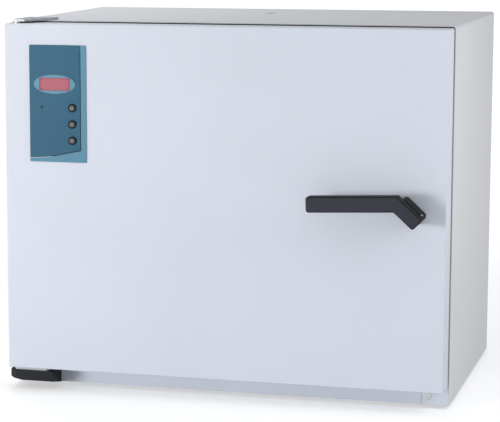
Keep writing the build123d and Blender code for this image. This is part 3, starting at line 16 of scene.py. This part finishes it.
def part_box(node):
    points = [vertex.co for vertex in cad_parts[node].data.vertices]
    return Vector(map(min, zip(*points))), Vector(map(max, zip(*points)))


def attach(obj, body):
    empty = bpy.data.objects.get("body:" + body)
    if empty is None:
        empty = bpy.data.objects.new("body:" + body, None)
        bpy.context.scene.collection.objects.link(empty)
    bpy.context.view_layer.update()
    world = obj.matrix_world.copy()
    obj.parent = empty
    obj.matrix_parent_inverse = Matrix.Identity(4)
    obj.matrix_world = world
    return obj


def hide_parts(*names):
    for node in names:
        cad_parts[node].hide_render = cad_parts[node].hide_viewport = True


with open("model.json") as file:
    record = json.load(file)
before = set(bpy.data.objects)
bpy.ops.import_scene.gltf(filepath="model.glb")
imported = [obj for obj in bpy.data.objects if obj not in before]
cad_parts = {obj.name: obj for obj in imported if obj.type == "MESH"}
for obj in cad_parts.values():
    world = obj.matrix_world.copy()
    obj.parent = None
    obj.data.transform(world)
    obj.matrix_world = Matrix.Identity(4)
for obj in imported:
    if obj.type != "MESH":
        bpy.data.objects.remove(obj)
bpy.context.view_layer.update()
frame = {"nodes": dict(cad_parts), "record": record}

# %% [markdown]
# ## The camera first
# A photograph can only be compared from its own viewpoint, so the camera comes before any finish.
# It stands 3 m in front of the cabinet, to its right and a little above it, with a long lens: the
# sides of the casing then close only slightly towards the back, as they do in a product picture.
# Its turn is written as azimuth, elevation and a small roll, which is easier to check than three
# Euler angles. The picture was cropped, so the point that the lens looked at isn't its middle: the
# shift moves the middle there.

# %% Place the camera
image_width, image_height = 500, 422
focal_length_px = 2055.7
axis_x_px, axis_y_px = 170.8, 225.7
azimuth, elevation, roll = radians(16.0761), radians(8.824), radians(-0.1035)
camera_place = (0.7348, -3.0170, 0.7081)

camera = bpy.data.cameras.new("photo_camera")
camera.sensor_width = 36.0
camera.lens = focal_length_px / image_width * camera.sensor_width
camera.shift_x = (image_width / 2 - axis_x_px) / image_width
camera.shift_y = (axis_y_px - image_height / 2) / image_width
camera_object = bpy.data.objects.new("photo_camera", camera)
bpy.context.scene.collection.objects.link(camera_object)
camera_object.matrix_world = (
    Matrix.Translation(camera_place)
    @ Matrix.Rotation(azimuth, 4, "Z")
    @ Matrix.Rotation(pi / 2 - elevation, 4, "X")
    @ Matrix.Rotation(roll, 4, "Z")
)
bpy.context.scene.camera = camera_object
print("lens in mm:", round(camera.lens, 2))

# %% [markdown]
# ## Shader maths in plain Python
# A finish that varies over a surface is arithmetic on textures: a noise, less a half, times a
# strength. Adding a Math node by hand for each sign is slow to write and hard to read. A small class
# that wraps a socket and overloads the operators lets the formula be typed as a formula, and each
# operator adds its own Math node.

# %% Wrap a socket
class Field:
    """Something that varies over a surface; arithmetic on it adds Math nodes."""

    def __init__(self, nodes, socket):
        self.nodes = nodes
        self.socket = socket

    def maths(self, operation, *values):
        made = self.nodes.node("ShaderNodeMath", {"operation": operation}, dict(enumerate(values)))
        return made.field("Value")

    def __add__(self, other):
        return self.maths("ADD", self, other)

    def __radd__(self, other):
        return self.maths("ADD", other, self)

    def __sub__(self, other):
        return self.maths("SUBTRACT", self, other)

    def __rsub__(self, other):
        return self.maths("SUBTRACT", other, self)

    def __mul__(self, other):
        return self.maths("MULTIPLY", self, other)

    def __rmul__(self, other):
        return self.maths("MULTIPLY", other, self)

    def __truediv__(self, other):
        return self.maths("DIVIDE", self, other)

    def __rtruediv__(self, other):
        return self.maths("DIVIDE", other, self)

    def __pow__(self, other):
        return self.maths("POWER", self, other)

    def __abs__(self):
        return self.maths("ABSOLUTE", self)

    def step(self, low, high):
        """0 below low, 1 above high and a smooth rise between them."""
        settings = {"interpolation_type": "SMOOTHSTEP"}
        sockets = {"Value": self, "From Min": low, "From Max": high}
        return self.nodes.node("ShaderNodeMapRange", settings, sockets).field("Result")


# %% [markdown]
# ## One method that adds nodes
# A material, the floor and the world are all node trees, so one class serves all three. Its `node`
# method is the only place where a node is added: it takes the node's type, its settings and the
# values or links of its sockets, and hands back the new node with its outputs ready as fields.

# %% Wrap a node tree
class Made:
    """A node that has just been added, with its outputs ready to be used as fields."""

    def __init__(self, nodes, node):
        self.nodes = nodes
        self.node = node

    def field(self, name):
        return Field(self.nodes, self.node.outputs[name])


class Nodes:
    """A node tree and the one method that adds nodes to it."""

    def __init__(self, tree):
        self.tree = tree

    def fill(self, node, sockets):
        """Gives each socket a plain value, or links a field to it."""
        for name, value in sockets.items():
            if isinstance(value, Field):
                self.tree.links.new(value.socket, node.inputs[name])
            else:
                node.inputs[name].default_value = value

    def node(self, kind, settings=None, sockets=None):
        made = self.tree.nodes.new(kind)
        for name, value in (settings or {}).items():
            setattr(made, name, value)
        self.fill(made, sockets or {})
        return Made(self, made)


# %% [markdown]
# ## One object for each finish
# Each finish is a Principled shader with a colour, a roughness and a bump. Patterns read Object
# coordinates, which on these pieces are metres in the cabinet's own frame, so a scale of 400 means
# grains of 2.5 mm. Colours are written as they are read off a screen, 0 to 255, and made linear.

# %% Make finishes
def screen_color(red, green, blue):
    """A colour read off a screen, 0 to 255, as the linear colour that a shader takes."""
    def linear(level):
        level /= 255
        return level / 12.92 if level <= 0.04045 else ((level + 0.055) / 1.055) ** 2.4
    return (linear(red), linear(green), linear(blue), 1.0)


def shade(color, factor):
    """The same colour, darker or lighter."""
    return (color[0] * factor, color[1] * factor, color[2] * factor, 1.0)


class Finish(Nodes):
    """A material with a Principled shader and the patterns that its sockets read."""

    def __init__(self, name, color, roughness, metallic=0.0, coat=0.0):
        self.material = bpy.data.materials.new(name)
        self.material.use_nodes = True
        self.material.diffuse_color = color
        super().__init__(self.material.node_tree)
        self.shader = self.tree.nodes["Principled BSDF"]
        self.fill(self.shader, {"Base Color": color, "Roughness": roughness})
        self.fill(self.shader, {"Metallic": metallic, "Coat Weight": coat})

    def place(self, stretch=(1, 1, 1)):
        """Object coordinates in metres, stretched along each axis."""
        spot = self.node("ShaderNodeTexCoord").field("Object")
        return self.node("ShaderNodeMapping", None, {"Vector": spot, "Scale": stretch}).field("Vector")

    def along(self, axis):
        """One coordinate of the place, in metres."""
        spot = self.node("ShaderNodeTexCoord").field("Object")
        return self.node("ShaderNodeSeparateXYZ", None, {"Vector": spot}).field(axis)

    def facing(self, axis):
        """How far the surface faces along an axis of the piece, -1 to 1."""
        normal = self.node("ShaderNodeTexCoord").field("Normal")
        return self.node("ShaderNodeSeparateXYZ", None, {"Vector": normal}).field(axis)

    def noise(self, scale, detail=2.0, stretch=(1, 1, 1)):
        sockets = {"Vector": self.place(stretch), "Scale": scale, "Detail": detail}
        return self.node("ShaderNodeTexNoise", None, sockets).field("Fac")

    def blend(self, amount, first, second):
        """A colour between two colours. Sockets 0, 6 and 7 are the Mix node's colour sockets."""
        return self.node("ShaderNodeMix", {"data_type": "RGBA"}, {0: amount, 6: first, 7: second}).field(2)

    def bump(self, height, distance, strength=1.0):
        sockets = {"Height": height, "Distance": distance, "Strength": strength}
        self.feed("Normal", self.node("ShaderNodeBump", None, sockets).field("Normal"))

    def feed(self, name, value):
        self.fill(self.shader, {name: value})


finishes = {}
print("white paper as a linear colour:", screen_color(255, 255, 255))

# %% [markdown]
# ## Powder coat
# The casing and door are baked powder paint. It isn't smooth: the film dries into a low orange peel
# of hills 2 to 3 mm apart, which breaks up each reflection a little. One noise gives the hills, a
# finer one the grain of the powder, and a slow one keeps a large panel from looking printed.

# %% Powder coat for the casing and the door
def powder_coat(name, color, peel):
    finish = Finish(name, color, 0.42)
    hills = finish.noise(380.0, 1.0)
    grain = finish.noise(1500.0, 2.0)
    drift = finish.noise(5.0, 2.0)
    finish.feed("Base Color", finish.blend(drift.step(0.3, 0.7), shade(color, 0.985), shade(color, 1.01)))
    finish.feed("Roughness", 0.36 + 0.12 * grain)
    finish.bump(hills * 0.8 + grain * 0.2, 0.0004 * peel, 0.35)
    return finish


finishes["casing_paint"] = powder_coat("casing_paint", screen_color(214, 216, 220), 1.0)
finishes["door_paint"] = powder_coat("door_paint", screen_color(214, 219, 230), 0.7)
print("powder coats:", [name for name in finishes])

# %% [markdown]
# ## Sheet metals
# Bare sheet shows when the door is open or from behind. Stainless and ground steel are brushed, so
# their noise is stretched hard along one direction. Zinc-coated sheet freezes into flat crystals, a
# cell pattern. Metals take their look from reflections, so most of the pattern goes to the
# roughness and the bump.

# %% Brushed and zinc-coated sheet
def brushed_sheet(name, color, roughness, stretch):
    finish = Finish(name, color, roughness, metallic=1.0)
    lines = finish.noise(600.0, 3.0, stretch)
    cloud = finish.noise(9.0, 2.0)
    finish.feed("Base Color", finish.blend(lines.step(0.3, 0.7), shade(color, 0.93), color))
    finish.feed("Roughness", roughness - 0.05 + 0.12 * lines + 0.06 * cloud)
    finish.bump(lines, 0.00005, 0.4)
    return finish


finishes["stainless"] = brushed_sheet("stainless", screen_color(196, 197, 198), 0.34, (0.03, 1, 1))
finishes["hinge_steel"] = brushed_sheet("hinge_steel", screen_color(160, 165, 169), 0.42, (1, 0.05, 1))
finishes["spring_steel"] = brushed_sheet("spring_steel", screen_color(150, 150, 154), 0.30, (1, 1, 0.05))

zinc = Finish("zinc_steel", screen_color(172, 177, 182), 0.42, metallic=0.9)
crystals = zinc.node("ShaderNodeTexVoronoi", None, {"Vector": zinc.place(), "Scale": 90.0}).field("Color")
crystal_tone = zinc.node("ShaderNodeSeparateColor", None, {"Color": crystals}).field("Red")
zinc.feed("Base Color", zinc.blend(crystal_tone, screen_color(158, 163, 168), screen_color(184, 188, 192)))
zinc.feed("Roughness", 0.34 + 0.16 * crystal_tone)
zinc.bump(zinc.noise(900.0, 2.0), 0.00005, 0.3)
finishes["zinc_steel"] = zinc
print("sheet metals done, finishes so far:", len(finishes))

# %% [markdown]
# Wire, screws and bushes are smooth metal with fine handling marks. A dense noise dulls the shine a
# little in patches, which keeps a small bright part from looking like a mirror.

# %% Bright wire, screws and brass
def plated(name, color, roughness):
    finish = Finish(name, color, roughness, metallic=1.0)
    marks = finish.noise(700.0, 3.0)
    finish.feed("Base Color", finish.blend(marks.step(0.35, 0.75), color, shade(color, 0.86)))
    finish.feed("Roughness", roughness + 0.10 * marks)
    finish.bump(marks, 0.00004, 0.3)
    return finish


finishes["bright_wire"] = plated("bright_wire", screen_color(205, 207, 208), 0.16)
finishes["bright_screw"] = plated("bright_screw", screen_color(200, 202, 204), 0.20)
finishes["bush_brass"] = plated("bush_brass", screen_color(196, 160, 92), 0.26)
print("bright metals done, finishes so far:", len(finishes))

# %% [markdown]
# ## The heated sheath
# A tubular heater leaves the factory grey and comes back from its first firing with straw and blue
# tints that follow how hot each stretch ran. A slow noise along the tube picks the tint.

# %% Heat-tinted sheath
sheath = Finish("heater_sheath", screen_color(112, 104, 98), 0.5, metallic=0.8)
heat = sheath.noise(12.0, 2.0)
straw = sheath.blend(heat.step(0.35, 0.6), screen_color(96, 92, 92), screen_color(132, 112, 84))
sheath.feed("Base Color", sheath.blend(heat.step(0.58, 0.75), straw, screen_color(84, 86, 104)))
sheath.feed("Roughness", 0.42 + 0.2 * sheath.noise(300.0, 2.0))
sheath.bump(sheath.noise(1200.0, 2.0), 0.00004, 0.3)
finishes["heater_sheath"] = sheath
print("sheath nodes:", len(sheath.tree.nodes))

# %% [markdown]
# ## Moulded plastics
# Moulded parts carry the spark-eroded grain of their tool. The lever is the piece that the eye goes
# to: its flat face is satin and reads as dark grey. Its rounded edges and sides get painted shade,
# almost black, because they lie in shadow. A mask made from the way the surface faces puts that
# painted shade on the piece, whatever the camera.

# %% Moulded plastics
def moulded(name, color, roughness, grain_scale=1400.0, depth=0.00008):
    finish = Finish(name, color, roughness)
    finish.feed("Specular IOR Level", 0.25)
    grain = finish.noise(grain_scale, 3.0)
    finish.feed("Base Color", finish.blend(grain.step(0.3, 0.75), shade(color, 0.9), shade(color, 1.08)))
    finish.feed("Roughness", roughness - 0.06 + 0.14 * grain)
    finish.bump(grain, depth, 0.5)
    return finish


finishes["black_plastic"] = moulded("black_plastic", screen_color(18, 19, 27), 0.52)
finishes["ring_black"] = moulded("ring_black", screen_color(14, 14, 15), 0.24, 900.0, 0.00003)
finishes["cap_grey"] = moulded("cap_grey", screen_color(118, 112, 110), 0.42)
finishes["cream_plastic"] = moulded("cream_plastic", screen_color(214, 208, 192), 0.45)
finishes["foot_rubber"] = moulded("foot_rubber", screen_color(30, 30, 31), 0.75, 700.0, 0.0002)
finishes["silicone"] = moulded("silicone", screen_color(205, 200, 190), 0.6, 500.0, 0.0001)

lever = moulded("lever_black", screen_color(44, 44, 54), 0.46)
# painted shade: surfaces that turn away from the front get an almost black colour
face = abs(lever.facing("Y")).step(0.82, 0.99)
grain = lever.noise(1400.0, 3.0)
lever_face = lever.blend(grain.step(0.3, 0.75), screen_color(41, 42, 53), screen_color(49, 50, 61))
lever.feed("Base Color", lever.blend(face, screen_color(5, 5, 8), lever_face))
lever.feed("Roughness", 0.58 - 0.16 * face + 0.08 * grain)
lever.feed("Specular IOR Level", 0.28)
finishes["lever_black"] = lever
print("plastics done, finishes so far:", len(finishes))

# %% [markdown]
# ## The printed fascia
# The fascia is a printed polyester film on a plate. The print is even, with a faint weave from the
# screen and a little more light towards the top. The light strip and wedge at its edge are the same
# film in another ink, and so is the ellipse round the display.

# %% Printed film
fascia_low, fascia_high = 0.33, 0.52


def printed_film(name, color):
    finish = Finish(name, color, 0.42)
    finish.feed("Specular IOR Level", 0.3)
    weave = finish.noise(2200.0, 1.0)
    # painted light: the film is made a little lighter towards the top
    rise = finish.along("Z").step(fascia_low, fascia_high)
    painted_light_tone = finish.blend(rise, shade(color, 0.96), shade(color, 1.05))
    finish.feed("Base Color", finish.blend(weave.step(0.2, 0.8) * 0.5, painted_light_tone, shade(color, 0.94)))
    finish.feed("Roughness", 0.34 + 0.1 * weave)
    finish.bump(weave, 0.00003, 0.4)
    return finish


finishes["fascia_blue"] = printed_film("fascia_blue", screen_color(25, 90, 117))
finishes["fascia_light"] = printed_film("fascia_light", screen_color(88, 141, 166))
finishes["bezel_blue"] = printed_film("bezel_blue", screen_color(98, 146, 169))
print("inks done, finishes so far:", len(finishes))

# %% [markdown]
# ## The display window and the lamp
# The number display is off, so its window is a slab of pink-red acrylic with the pale block of the
# module behind it. It is paler in the middle, where the block is, and painted shade makes it deeper
# at the rim. High powers of the two distances from its centre give that painted shade the shape of a
# rectangle with round corners. The lamp is an unlit lens.

# %% Tinted window and lamp
window_low, window_high = (Vector(corner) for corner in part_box("display_window"))
window_middle = (window_low + window_high) / 2
window_half = (window_high - window_low) / 2
window = Finish("window_red", screen_color(178, 96, 110), 0.12, coat=0.2)
across = abs(window.along("X") - window_middle.x) / window_half.x
upwards = abs(window.along("Z") - window_middle.z) / window_half.z
# painted shade: the window gets darker towards its rim
rim_shade = (across ** 6.0 + upwards ** 6.0).step(0.2, 1.1)
window.feed("Base Color", window.blend(rim_shade, screen_color(182, 100, 114), screen_color(150, 62, 86)))
window.feed("Roughness", 0.1 + 0.08 * window.noise(60.0, 2.0))
finishes["window_red"] = window
finishes["lamp_green"] = moulded("lamp_green", screen_color(46, 60, 62), 0.15, 300.0, 0.00002)
print("window, half its size in m:", window_half)

# %% [markdown]
# ## The circuit board
# The board sits in its box behind the fascia. Its solder mask is green, and the copper under it
# shows as a net of paler lines, for which the mortar of a brick pattern is near enough.

# %% Circuit board
mask_color = screen_color(24, 84, 50)
board = Finish("board_green", mask_color, 0.35)
track_sockets = {"Vector": board.place(), "Scale": 120.0, "Mortar Size": 0.04}
tracks = board.node("ShaderNodeTexBrick", None, track_sockets).field("Fac")
board.feed("Base Color", board.blend(tracks, mask_color, screen_color(52, 116, 72)))
board.bump(tracks, 0.00005, 0.5)
finishes["board_green"] = board
print("board nodes:", len(board.tree.nodes))

# %% [markdown]
# ## Mineral wool
# The wool shows only where a panel is off, but it is a real layer. Its fibres lie in flat mats, so
# the noise is stretched along the mat and the bump is deep.

# %% Mineral wool
wool_dark = screen_color(150, 138, 98)
wool = Finish("mineral_wool", screen_color(176, 164, 122), 0.95)
fibres = wool.noise(160.0, 6.0, (1, 1, 4))
tufts = wool.noise(22.0, 3.0)
wool_tone = wool.blend(tufts.step(0.3, 0.7), wool_dark, screen_color(196, 184, 142))
wool.feed("Base Color", wool.blend(fibres.step(0.35, 0.65), shade(wool_dark, 0.8), wool_tone))
wool.bump(fibres * 0.6 + tufts * 0.4, 0.003, 0.6)
finishes["mineral_wool"] = wool
print("all finishes:", len(finishes))

# %% [markdown]
# ## Every solid gets its finish
# The record says which slot each solid belongs to. Going by that table, no solid is forgotten.

# %% Hand the finishes out
node_slots = {part["node"]: part["material_slot"] for part in frame["record"]["subparts"]}
for node_name, slot_name in node_slots.items():
    for material_slot in frame["nodes"][node_name].material_slots:
        material_slot.material = finishes[slot_name].material
print("dressed:", len(node_slots), "missing:", set(node_slots.values()) - set(finishes))

# %% [markdown]
# ## Screws, modelled once and copied
# The solids give each screw its head and shank as plain cylinders. A pan head is rounder than that
# and has a cross recess, and a countersunk head has a socket. Each kind is started as a cylinder or
# cone, shaped in edit mode, cut with a boolean, and copied to its places with a mesh of its own.

# %% Helpers for modelling
def deselect():
    if bpy.context.object and bpy.context.object.mode != "OBJECT":
        bpy.ops.object.mode_set(mode="OBJECT")
    bpy.ops.object.select_all(action="DESELECT")


def pick(piece, wanted, kind="FACE"):
    """Selects in edit mode the faces or edges that the test wants, given as bmesh elements."""
    bpy.ops.object.mode_set(mode="EDIT")
    bpy.ops.mesh.select_mode(type=kind)
    bpy.ops.mesh.select_all(action="DESELECT")
    shape = bmesh.from_edit_mesh(piece.data)
    elements = shape.faces if kind == "FACE" else shape.edges
    for element in elements:
        element.select_set(wanted(element))
    shape.select_flush_mode()
    bmesh.update_edit_mesh(piece.data)


def faces_down(face):
    return face.normal.z < -0.9


def cut_away(piece, cutter):
    """Subtracts one piece from another and deletes the cutter."""
    deselect()
    bpy.context.view_layer.objects.active = piece
    piece.select_set(True)
    cut = piece.modifiers.new("cut", "BOOLEAN")
    cut.operation = "DIFFERENCE"
    cut.solver = "EXACT"
    cut.object = cutter
    bpy.ops.object.modifier_apply(modifier=cut.name)
    bpy.data.objects.remove(cutter)


def screw_copies(pattern, name, matrices):
    """One bright piece made of copies of a screw, each with its own mesh, joined at the origin."""
    made = []
    for matrix in matrices:
        copy = pattern.copy()
        copy.data = pattern.data.copy()
        copy.data.transform(matrix)
        bpy.context.scene.collection.objects.link(copy)
        made.append(copy)
    deselect()
    for copy in made:
        copy.select_set(True)
    bpy.context.view_layer.objects.active = made[0]
    bpy.ops.object.join()
    joined = bpy.context.object
    joined.name = name
    joined.data.name = name
    bpy.data.objects.remove(pattern)
    bpy.ops.object.shade_smooth_by_angle(angle=radians(35))
    joined.data.materials.clear()
    joined.data.materials.append(finishes["bright_screw"].material)
    print(name, "screws:", len(made), "faces:", len(joined.data.polygons))
    return joined


# %% [markdown]
# ## The pan-head screw
# It holds the thin sheets of the rear panel and the door. The head is a short cylinder whose upper
# edge is bevelled round. The shank is drawn out of the underside: that face is inset to the shank's
# width and extruded. Two crossed blades, narrower at their foot, cut the recess.

# %% Model a pan-head screw with a cross recess
def pan_head_screw(head_radius, head_height, shank_radius, shank_length):
    """A screw on the Z axis, head upwards, seated at z = 0."""
    rounding = head_height * 0.62
    blade_length, blade_width = head_radius * 1.05, head_radius * 0.2
    blade_centre = head_height * 0.95
    blade_taper = 0.7

    deselect()
    bpy.ops.mesh.primitive_cylinder_add(vertices=40, radius=head_radius, depth=head_height)
    screw = bpy.context.object
    screw.data.transform(Matrix.Translation((0, 0, head_height / 2)))
    pick(screw, lambda edge: all(v.co.z > head_height * 0.99 for v in edge.verts), "EDGE")
    bpy.ops.mesh.bevel(offset=rounding, segments=6, profile=0.5)
    pick(screw, faces_down)
    bpy.ops.mesh.inset(thickness=head_radius - shank_radius)
    bpy.ops.mesh.extrude_region_move(TRANSFORM_OT_translate={"value": (0, 0, -shank_length)})
    for turn in (0, pi / 2):
        deselect()
        bpy.ops.mesh.primitive_cube_add(size=1.0)
        blade = bpy.context.object
        blade.data.transform(Matrix.Diagonal((blade_length, blade_width, head_height, 1)))
        blade.data.transform(Matrix.Rotation(turn, 4, "Z"))
        blade.data.transform(Matrix.Translation((0, 0, blade_centre)))
        pick(blade, faces_down)
        bpy.ops.transform.resize(value=(blade_taper, blade_taper, 1))
        cut_away(screw, blade)
    return screw


# %% [markdown]
# ## Where the rear screws go
# The panel's screws stand on a grid of 4 columns by 3 rows over the box of the solid that they
# replace, along both sides and the top. On a real cabinet no two recesses stand alike, so each
# screw is turned by another angle.

# %% Screws of the rear panel
grid_columns, grid_rows = 4, 3
side_columns = (0, grid_columns - 1)
top_row = grid_rows - 1


def grid_places(node_name, radius, keep):
    """Screw places over the box of a node, in x and z."""
    low, high = (Vector(corner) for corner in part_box(node_name))
    column_step = (high.x - low.x - 2 * radius) / (grid_columns - 1)
    row_step = (high.z - low.z - 2 * radius) / (grid_rows - 1)
    return [
        (low.x + radius + column_step * column, low.z + radius + row_step * row)
        for column in range(grid_columns)
        for row in range(grid_rows)
        if keep(column, row)
    ]


to_the_back = Matrix.Rotation(-pi / 2, 4, "X")

rear_box = [Vector(corner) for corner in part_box("rear_screws")]
head_radius, shank_radius = 0.0035, 0.00175
rear_head_height = 0.0020
rear_seat = rear_box[1].y - rear_head_height
rear_places = grid_places("rear_screws", head_radius, lambda i, j: i in side_columns or j == top_row)
rear_screws = screw_copies(
    pan_head_screw(head_radius, rear_head_height, shank_radius, rear_seat - rear_box[0].y),
    "rear_pan_screws",
    [
        Matrix.Translation((x, rear_seat, z)) @ to_the_back @ Matrix.Rotation(0.3 + 1.7 * i, 4, "Z")
        for i, (x, z) in enumerate(rear_places)
    ],
)
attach(rear_screws, "cabinet")
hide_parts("rear_screws")

# %% [markdown]
# The door's inner panel is held by the same screw with a lower head, so the function above is called
# again with other places and another seat. These go all the way round.

# %% The same screw round the door's inner panel
panel_box = [Vector(corner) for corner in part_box("door_panel_screws")]
panel_head_height = 0.0016
panel_seat = panel_box[1].y - panel_head_height
panel_places = grid_places(
    "door_panel_screws", head_radius, lambda i, j: i in side_columns or j in (0, top_row)
)
panel_screws = screw_copies(
    pan_head_screw(head_radius, panel_head_height, shank_radius, panel_seat - panel_box[0].y),
    "panel_pan_screws",
    [
        Matrix.Translation((x, panel_seat, z)) @ to_the_back @ Matrix.Rotation(0.8 + 2.1 * i, 4, "Z")
        for i, (x, z) in enumerate(panel_places)
    ],
)
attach(panel_screws, "door")
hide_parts("door_panel_screws")

# %% [markdown]
# The hinges carry the door's weight, so their screws sit flush in the plates. Each starts as a cone:
# its wide end is the head, its narrow end is extruded into the shank, and a six-sided cylinder cuts
# the socket. Two stand upright in the top plate and two lie flat in the lower bracket's leg.

# %% Countersunk screws with a hexagon socket, for the hinges
hinge_box = [Vector(corner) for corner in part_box("hinge_screws")]
hinge_head_radius, hinge_shank_radius, hinge_screw_length = 0.0045, 0.0025, 0.0060
cone_height = hinge_head_radius - hinge_shank_radius
rim_bevel = 0.00025
socket_radius, socket_depth = 0.0017, 0.0015
hinge_screw_spacing = 0.030

deselect()
bpy.ops.mesh.primitive_cone_add(
    vertices=40, radius1=hinge_shank_radius, radius2=hinge_head_radius, depth=cone_height
)
countersunk = bpy.context.object
countersunk.data.transform(Matrix.Translation((0, 0, -cone_height / 2)))
pick(countersunk, lambda edge: all(v.co.z > -0.0001 for v in edge.verts), "EDGE")
bpy.ops.mesh.bevel(offset=rim_bevel, segments=2)
pick(countersunk, faces_down)
bpy.ops.mesh.extrude_region_move(
    TRANSFORM_OT_translate={"value": (0, 0, cone_height - hinge_screw_length)}
)
deselect()
bpy.ops.mesh.primitive_cylinder_add(vertices=6, radius=socket_radius, depth=2 * socket_depth)
cut_away(countersunk, bpy.context.object)

first_column = hinge_box[0].x + hinge_head_radius
last_column = hinge_box[1].x - hinge_head_radius
plate_columns = [first_column, first_column + hinge_screw_spacing]
leg_columns = [last_column - hinge_screw_spacing, last_column]
plate_row = hinge_box[1].y - hinge_head_radius
leg_row = hinge_box[0].z + hinge_head_radius
to_the_front = Matrix.Rotation(pi / 2, 4, "X")
hinge_screws = screw_copies(
    countersunk,
    "hinge_socket_screws",
    [Matrix.Translation((x, plate_row, hinge_box[1].z)) for x in plate_columns]
    + [Matrix.Translation((x, hinge_box[0].y, leg_row)) @ to_the_front for x in leg_columns],
)
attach(hinge_screws, "cabinet")
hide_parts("hinge_screws")

# %% [markdown]
# ## Floor and background
# A product picture like this one has no corner or horizon: floor and background are the same white,
# and only a soft shadow under the cabinet says that it stands on something. The floor is a large
# plane whose shader adds a little light of its own, but only to the camera and to reflections, so
# that it reads white without lighting the cabinet. It adds less near the cabinet, where the shadow
# has to stay.

# %% White floor
deselect()
bpy.ops.mesh.primitive_plane_add(size=80.0)
floor = bpy.context.object
floor.name = "floor"
floor_glow = 0.62
near_share = 0.70
shadow_reach, white_from = 0.5, 2.0

paper = Finish("floor_white", (0.80, 0.80, 0.80, 1.0), 0.9)
paper_cloud = paper.noise(0.5, 1.0).step(0.3, 0.7)
paper.feed("Base Color", paper.blend(paper_cloud, (0.79, 0.79, 0.79, 1.0), (0.81, 0.81, 0.81, 1.0)))
light_path = paper.node("ShaderNodeLightPath")
shown = (light_path.field("Is Camera Ray") + light_path.field("Is Glossy Ray")).step(0.0, 1.0)
spot = paper.node("ShaderNodeTexCoord").field("Object")
distance = paper.node("ShaderNodeVectorMath", {"operation": "LENGTH"}, {"Vector": spot}).field("Value")
share = near_share + (1 - near_share) * distance.step(shadow_reach, white_from)
glow = paper.node("ShaderNodeEmission", None, {"Color": (1, 1, 1, 1), "Strength": floor_glow})
dark = paper.node("ShaderNodeEmission", None, {"Color": (0, 0, 0, 1), "Strength": 0.0})
added = paper.node(
    "ShaderNodeMixShader", None, {0: shown * share, 1: dark.field("Emission"), 2: glow.field("Emission")}
)
lit = Field(paper, paper.shader.outputs["BSDF"])
both = paper.node("ShaderNodeAddShader", None, {0: lit, 1: added.field("Shader")})
paper.fill(paper.tree.nodes["Material Output"], {"Surface": both.field("Shader")})
floor.data.materials.append(paper.material)
print("floor nodes:", len(paper.tree.nodes))

# %% [markdown]
# The world is the large soft light that fills a white studio from all sides. It is a little bluish
# and of middling strength where it lights things, and plain white where the camera looks past the
# floor.

# %% World light
world = bpy.data.worlds.new("studio")
bpy.context.scene.world = world
world.use_nodes = True
studio = Nodes(world.node_tree)
fill_light = studio.tree.nodes["Background"]
studio.fill(fill_light, {"Color": (0.97, 0.985, 1.0, 1.0), "Strength": 0.55})
white = studio.node("ShaderNodeBackground", None, {"Color": (1.0, 1.0, 1.0, 1.0), "Strength": 1.0})
looked_at = studio.node("ShaderNodeLightPath").field("Is Camera Ray")
either = studio.node(
    "ShaderNodeMixShader",
    None,
    {0: looked_at, 1: Field(studio, fill_light.outputs["Background"]), 2: white.field("Background")},
)
studio.fill(studio.tree.nodes["World Output"], {"Surface": either.field("Shader")})
print("world nodes:", len(studio.tree.nodes))

# %% [markdown]
# ## Soft boxes
# Three soft boxes shape the cabinet. The main one stands low at the front left: the lever's shadow
# then falls up and to the right on the door. A small one at the right lights the top of the side
# more than its foot, and another one lights the left of the roof.

# %% Place the soft boxes
def soft_box(name, place, aim, size, power):
    """A square lamp, its size in metres and its power in watts."""
    box = bpy.data.lights.new(name, "AREA")
    box.shape = "RECTANGLE"
    box.size = size
    box.size_y = size
    box.energy = power
    box_object = bpy.data.objects.new(name, box)
    bpy.context.scene.collection.objects.link(box_object)
    turn = (Vector(aim) - Vector(place)).to_track_quat("-Z", "Y")
    box_object.matrix_world = Matrix.Translation(place) @ turn.to_matrix().to_4x4()
    print(name, "power", power)


soft_box("front_box", (-2.2, -2.7, 0.20), (0.0, -0.2, 0.3), 1.1, 78.0)
soft_box("side_box", (0.9, -0.4, 0.60), (0.32, -0.05, 0.4), 0.4, 1.8)
soft_box("roof_box", (-0.45, 0.15, 1.15), (-0.25, 0.0, 0.5), 0.4, 2.2)

bpy.context.scene.view_settings.view_transform = "Standard"
